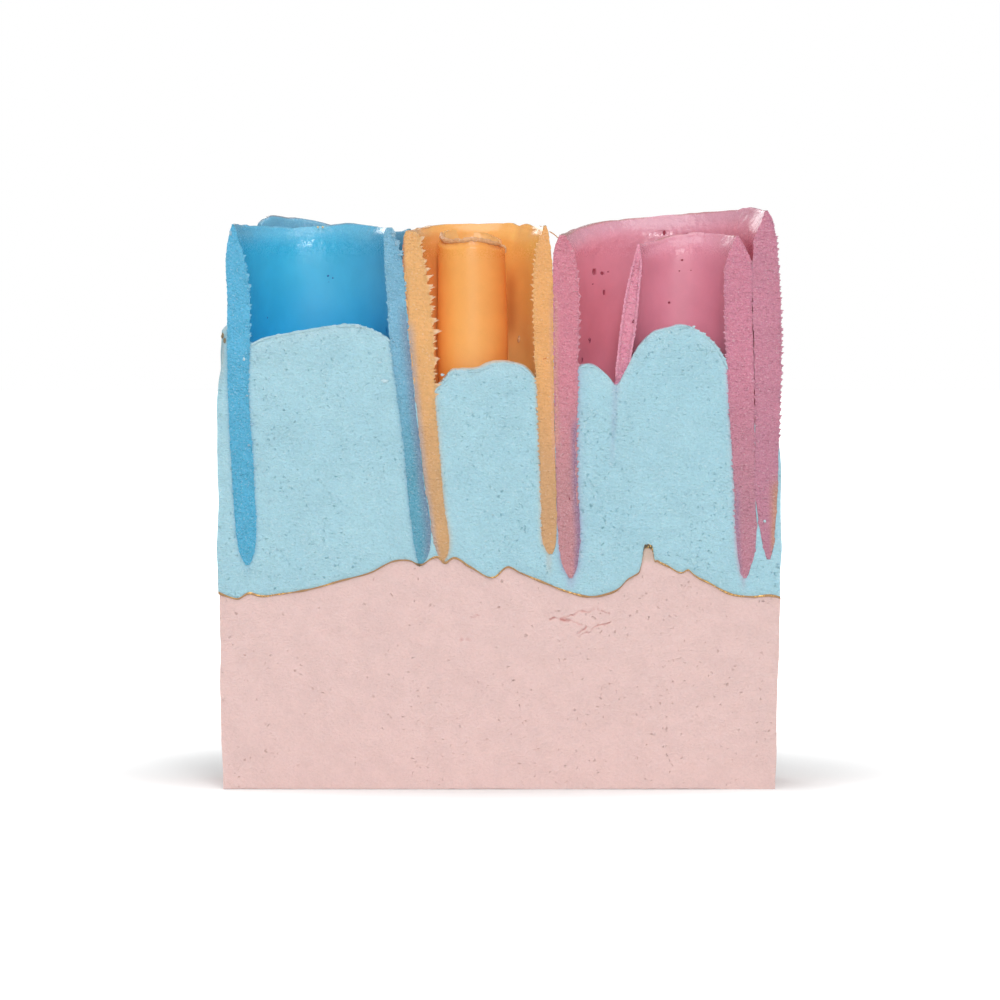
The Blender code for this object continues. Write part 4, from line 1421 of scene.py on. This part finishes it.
# Each row is (wall, end, edge, from height, to height, side, reach, tooth sizes).
EDGE_ROWS = (
    ("blue_roll_wall", "left", 2, 62, 79, 1, 0.80, (1.4, 0.5)),
    ("blue_roll_wall", "left", 2, 36, 64, 1, 0.38, (0.9, 0.4)),
    ("blue_roll_wall", "left", 1, 40, 78, -1, 0.12, (0.9, 0.4)),
    ("blue_roll_wall", "right", 1, 64, 80.5, 1, 0.62, (1.6, 0.5)),
    ("blue_roll_wall", "right", 2, 45, 79, -1, 0.36, (0.9, 0.4)),
    ("orange_roll_wall", "left", 2, 56.5, 81, 1, 1.45, (1.5, 0.55)),
    ("orange_roll_wall", "left", 1, 58, 80, -1, 0.30, (1.3, 0.5)),
    ("orange_roll_wall", "left", 2, 36, 57, 1, 0.20, (0.8, 0.4)),
    ("orange_roll_wall", "right", 2, 36, 80, -1, 0.62, (0.75, 0.35)),
    ("orange_roll_wall", "right", 1, 55, 74, 1, 0.22, (1.0, 0.4)),
    ("pink_roll_wall", "left", 2, 40, 77, 1, 0.50, (1.1, 0.45)),
    ("pink_roll_wall", "left", 1, 45, 78, -1, 0.15, (0.8, 0.4)),
    ("pink_roll_wall", "right", 1, 50, 83, 1, 0.48, (0.9, 0.4)),
    ("pink_roll_core", "right", 2, 36, 77, -1, 0.42, (0.8, 0.35)),
    ("pink_roll_core", "right", 1, 70, 79, 1, 0.35, (1.0, 0.4)),
    ("pink_roll_core", "left", 1, 60, 77, -1, 0.20, (0.8, 0.35)),
    ("pink_roll_core", "left", 2, 62, 77, 1, 0.20, (0.8, 0.35)),
)
# Each row is (wall, from x, to x, reach, tooth sizes).
RISE_ROWS = (
    ("blue_roll_wall", -23.5, -15.6, 0.40, (1.1, 0.4)), ("blue_roll_wall", -36.0, -23.5, 0.08, (0.9, 0.4)),
    ("orange_roll_wall", -9.4, -5.0, 0.42, (0.9, 0.35)), ("orange_roll_wall", -4.5, 5.0, 0.12, (0.8, 0.4)),
    ("pink_roll_wall", 11.8, 16.2, 0.12, (0.7, 0.35)), ("pink_roll_wall", 17.6, 27.5, 0.12, (0.8, 0.4)),
    ("pink_roll_wall", 27.0, 33.3, 0.36, (0.8, 0.35)),
)  # fmt: skip


def strip_burrs(colour, seed):
    """One piece with every row of burrs on the strips of one colour, paler towards the teeth's tips."""
    surfaces, colours = [], []
    for n, (name, end, edge, low, high, side, reach, sizes) in enumerate(EDGE_ROWS):
        if WALLS[name]["colour"] != colour:
            continue
        surface, out = burrs(edge_path(name, end, edge, low, high), side, reach, sizes, seed + 5 * n)
        surfaces.append(surface)
        colours.append(blend(strip_colour(name, end, surface[0][:, 2]), np.ones(3), 0.22 * out))
    return finish_piece(f"{colour}_cut_burrs", surfaces, np.vstack(colours), MATERIALS[colour][1])


cut_burrs = {colour: strip_burrs(colour, 900) for colour in MATERIALS}
rows = [
    burrs(rise_path(name, start, end), -1, reach, sizes, 990 + 5 * n)[0]
    for n, (name, start, end, reach, sizes) in enumerate(RISE_ROWS)
]
pour_burrs = finish_piece("pour_cut_burrs", rows, linear(178, 215, 225), pour_soap)

# %% Flakes, crumbs and the thread

# Each flake is (x, z, size, width and height for its size). They lie on the cut.
BLUE_FLAKES = (
    (-15.3, 80.6, 0.35, (0.8, 1.5)), (-14.9, 79.3, 0.25, (0.8, 1.6)), (-14.3, 77.6, 0.28, (1.6, 0.6)),
    (-14.0, 75.6, 0.22, (0.7, 1.6)), (-13.6, 73.4, 0.2, (0.8, 1.4)), (-38.9, 80.7, 0.22, (0.9, 1.6)),
    (-36.6, 57.2, 0.16, (1.3, 0.8)), (-35.9, 53.0, 0.18, (1.2, 0.9)), (-36.3, 50.0, 0.18, (1.2, 0.9)),
)  # fmt: skip
POUR_FLAKES = (
    (-20.6, 67.3, 0.30, (1.2, 0.8)), (-16.6, 59.3, 0.40, (1.3, 0.7)), (-17.4, 62.0, 0.2, (1.5, 0.5)),
    (28.2, 67.2, 0.16, (1.5, 0.7)), (31.0, 64.9, 0.16, (1.0, 1.0)), (38.5, 39.0, 0.22, (1.0, 0.9)),
    (-8.2, 60.2, 0.22, (1.2, 0.8)), (-37.0, 62.5, 0.2, (0.9, 1.3)),
)  # fmt: skip


def flakes(rows, seed):
    """Flat crumbs on the cut, standing out by a third of their size."""
    return [
        crumb((x, FRONT - 0.05, z), size, seed + n, (wide, 0.45, tall))
        for n, (x, z, size, (wide, tall)) in enumerate(rows)
    ]


blue_flakes = finish_piece("blue_flakes", flakes(BLUE_FLAKES, 720), linear(150, 195, 218), blue_cut)
pour_flakes = finish_piece("pour_flakes", flakes(POUR_FLAKES, 740), linear(195, 224, 232), pour_soap)
orange_bit = crumb(on_wall("orange_roll_wall", 2.9, 65.3), 0.32, 760, (0.8, 1.0, 1.2), 0.6)
thread_path = np.column_stack([
    np.linspace(7.2, 8.7, 12), np.full(12, FRONT + 1.0), 80.95 - 1.1 * np.linspace(0, 1, 12) ** 1.4
])  # fmt: skip
orange_bits = finish_piece("orange_bits", [orange_bit, rod(thread_path, 0.09, 770)], PALE_LIP, orange_cut)

# Two grains of mica on the blue rim, as x, two dried flakes on the left shoulder, as (x, z), and specks
# of undissolved colour in the blue wall, as (x, z, size).
SPARKLES = (-26.6, -25.9)
SHOULDER_FLAKES = ((-40.1, 65.9), (-39.8, 65.2))
SPECKS = ((-25.1, 74.5, 0.16), (-24.4, 74.2, 0.13), (-33.9, 68.4, 0.11), (-25.0, 73.6, 0.07))
sparkles = [
    crumb(on_wall("blue_roll_wall", x, 81.2) + (0, -0.1, 0.45), 0.15, 775 + n)
    for n, x in enumerate(SPARKLES)
]
rim_sparkles = finish_piece("rim_sparkles", sparkles, linear(240, 212, 160), orange_cut)
brown_flakes = [
    crumb((x, FRONT + 0.1, z), 0.20, 780 + n, (0.9, 1.0, 2.0)) for n, (x, z) in enumerate(SHOULDER_FLAKES)
]
brown_bits = finish_piece("shoulder_flakes", brown_flakes, linear(140, 122, 88), orange_cut)
specks = [
    crumb(on_wall("blue_roll_wall", x, z), size, 790 + n, (1, 0.35, 1))
    for n, (x, z, size) in enumerate(SPECKS)
]
blue_specks = finish_piece("blue_specks", specks, linear(20, 100, 165), blue_skin)

# %% [markdown]
# ## Which piece stands for which solid
#
# Every piece rides on the one body, and each piece that replaces a solid hides it and prints its name.

# %% Ride and replace

STANDS_FOR = [
    (base, "pink_base", "pink_base_soap"),
    (mica, "gold_mica_line", "gold_mica"),
    (pour, "light_blue_pour", "light_blue_soap"),
    (curl, "orange_roll_core", "orange_sheet_soap"),
]
STANDS_FOR += [(piece, name, f"{WALLS[name]['colour']}_sheet_soap") for name, piece in walls.items()]
LOOSE_BITS = [
    (blue_flakes, "blue_sheet_soap"), (blue_specks, "blue_sheet_soap"), (orange_bits, "orange_sheet_soap"),
    (curl_lip, "orange_sheet_soap"), (pour_burrs, "light_blue_soap"), (pour_flakes, "light_blue_soap"),
    (brown_bits, "gold_mica"), (rim_sparkles, "gold_mica"),
]  # fmt: skip
LOOSE_BITS += [(piece, f"{colour}_sheet_soap") for colour, piece in cut_burrs.items()]
for piece, slot in LOOSE_BITS:
    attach(piece, "root")
for piece, node, slot in STANDS_FOR:
    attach(piece, "root")
    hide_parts(node)
    print(f"{piece.name} stands for {node}")

# %% [markdown]
# ## Floor, light and camera
#
# The floor is a wide sheet of pale paper. It glows a little for the camera only, more and more away from
# the bar, so that it fades into the white behind it and the soft shadow stays near the bar. A white world
# fills the shadows. Large soft lamps in front and above shape the hollows, and a weaker one behind keeps
# the back cut readable. The camera looks straight at the cut face, almost level, through a long lens.

# %% Floor


GLOW_CENTRE = (0.0, 26.0, 0.0)  # a little behind the bar, in millimetres
GLOW_FROM, GLOW_TO = 35, 110  # how far from there the paper starts to glow, and glows fully


def make_floor():
    """The sheet of paper, and its material."""
    bm = bmesh.new()
    bmesh.ops.create_grid(bm, x_segments=1, y_segments=1, size=3.0)
    mesh = bpy.data.meshes.new("floor")
    bm.to_mesh(mesh)
    bm.free()
    made, tree, shader = new_material("floor_paper")
    shader.inputs["Base Color"].default_value = (0.92, 0.92, 0.92, 1)
    shader.inputs["Roughness"].default_value = 0.9
    shader.inputs["Emission Color"].default_value = (1, 1, 1, 1)
    distance = add_node(tree, "ShaderNodeVectorMath", operation="DISTANCE")
    tree.links.new(millimetres(tree), distance.inputs[0])
    distance.inputs[1].default_value = GLOW_CENTRE
    glow = remap(tree, distance.outputs["Value"], GLOW_FROM, GLOW_TO)
    path = add_node(tree, "ShaderNodeLightPath")
    seen_glow = math_node(tree, "MULTIPLY", glow, path.outputs["Is Camera Ray"])
    tree.links.new(seen_glow, shader.inputs["Emission Strength"])
    mesh.materials.append(made)
    return put_object("floor", mesh)


make_floor()

# %% World and lamps


def make_world(strength, seen):
    """A white world: this strong as light, and this bright where the camera sees it."""
    world = bpy.data.worlds.new("studio")
    bpy.context.scene.world = world
    world.use_nodes = True
    tree = world.node_tree
    background = tree.nodes["Background"]
    background.inputs["Color"].default_value = (1, 1, 1, 1)
    path = add_node(tree, "ShaderNodeLightPath")
    bright = remap(tree, path.outputs["Is Camera Ray"], 0.0, 1.0, strength, seen)
    tree.links.new(bright, background.inputs["Strength"])


def add_lamp(name, place, size, watts):
    """A round soft lamp, this wide in metres, that points at the middle of the cut face."""
    data = bpy.data.lights.new(name, "AREA")
    data.shape = "DISK"
    data.size = size
    data.energy = watts
    lamp = bpy.data.objects.new(name, data)
    bpy.context.scene.collection.objects.link(lamp)
    aim(lamp, place, (0.0, FRONT * MM, 0.042))


def aim(thing, place, target):
    """Puts a lamp or camera at a place and turns its -Z axis to the target, with +Y up."""
    thing.location = place
    towards = Vector(target) - Vector(place)
    thing.rotation_euler = towards.to_track_quat("-Z", "Y").to_euler()


make_world(0.35, 1.0)
add_lamp("key", (0.08, -0.80, 0.58), 0.20, 2.4)
add_lamp("fill", (0.0, -1.1, 0.16), 0.6, 2.3)
add_lamp("top", (0.0, -0.15, 0.8), 0.6, 2.3)
add_lamp("back", (-0.35, 1.0, 0.45), 0.6, 2.8)

# %% Camera

DISTANCE = 1.0
ELEVATION = math.radians(2.0)
VIEW_WIDTH = 0.145
camera_data = bpy.data.cameras.new("camera")
camera_data.sensor_width = 36.0
camera_data.lens = camera_data.sensor_width * DISTANCE / VIEW_WIDTH
camera_data.clip_end = 20.0
camera = bpy.data.objects.new("camera", camera_data)
bpy.context.scene.collection.objects.link(camera)
seen = (0.0001, FRONT * MM, 0.04205)
aim(
    camera,
    (seen[0], seen[1] - DISTANCE * math.cos(ELEVATION), seen[2] + DISTANCE * math.sin(ELEVATION)),
    seen,
)
bpy.context.scene.camera = camera
bpy.context.scene.view_settings.view_transform = "Standard"
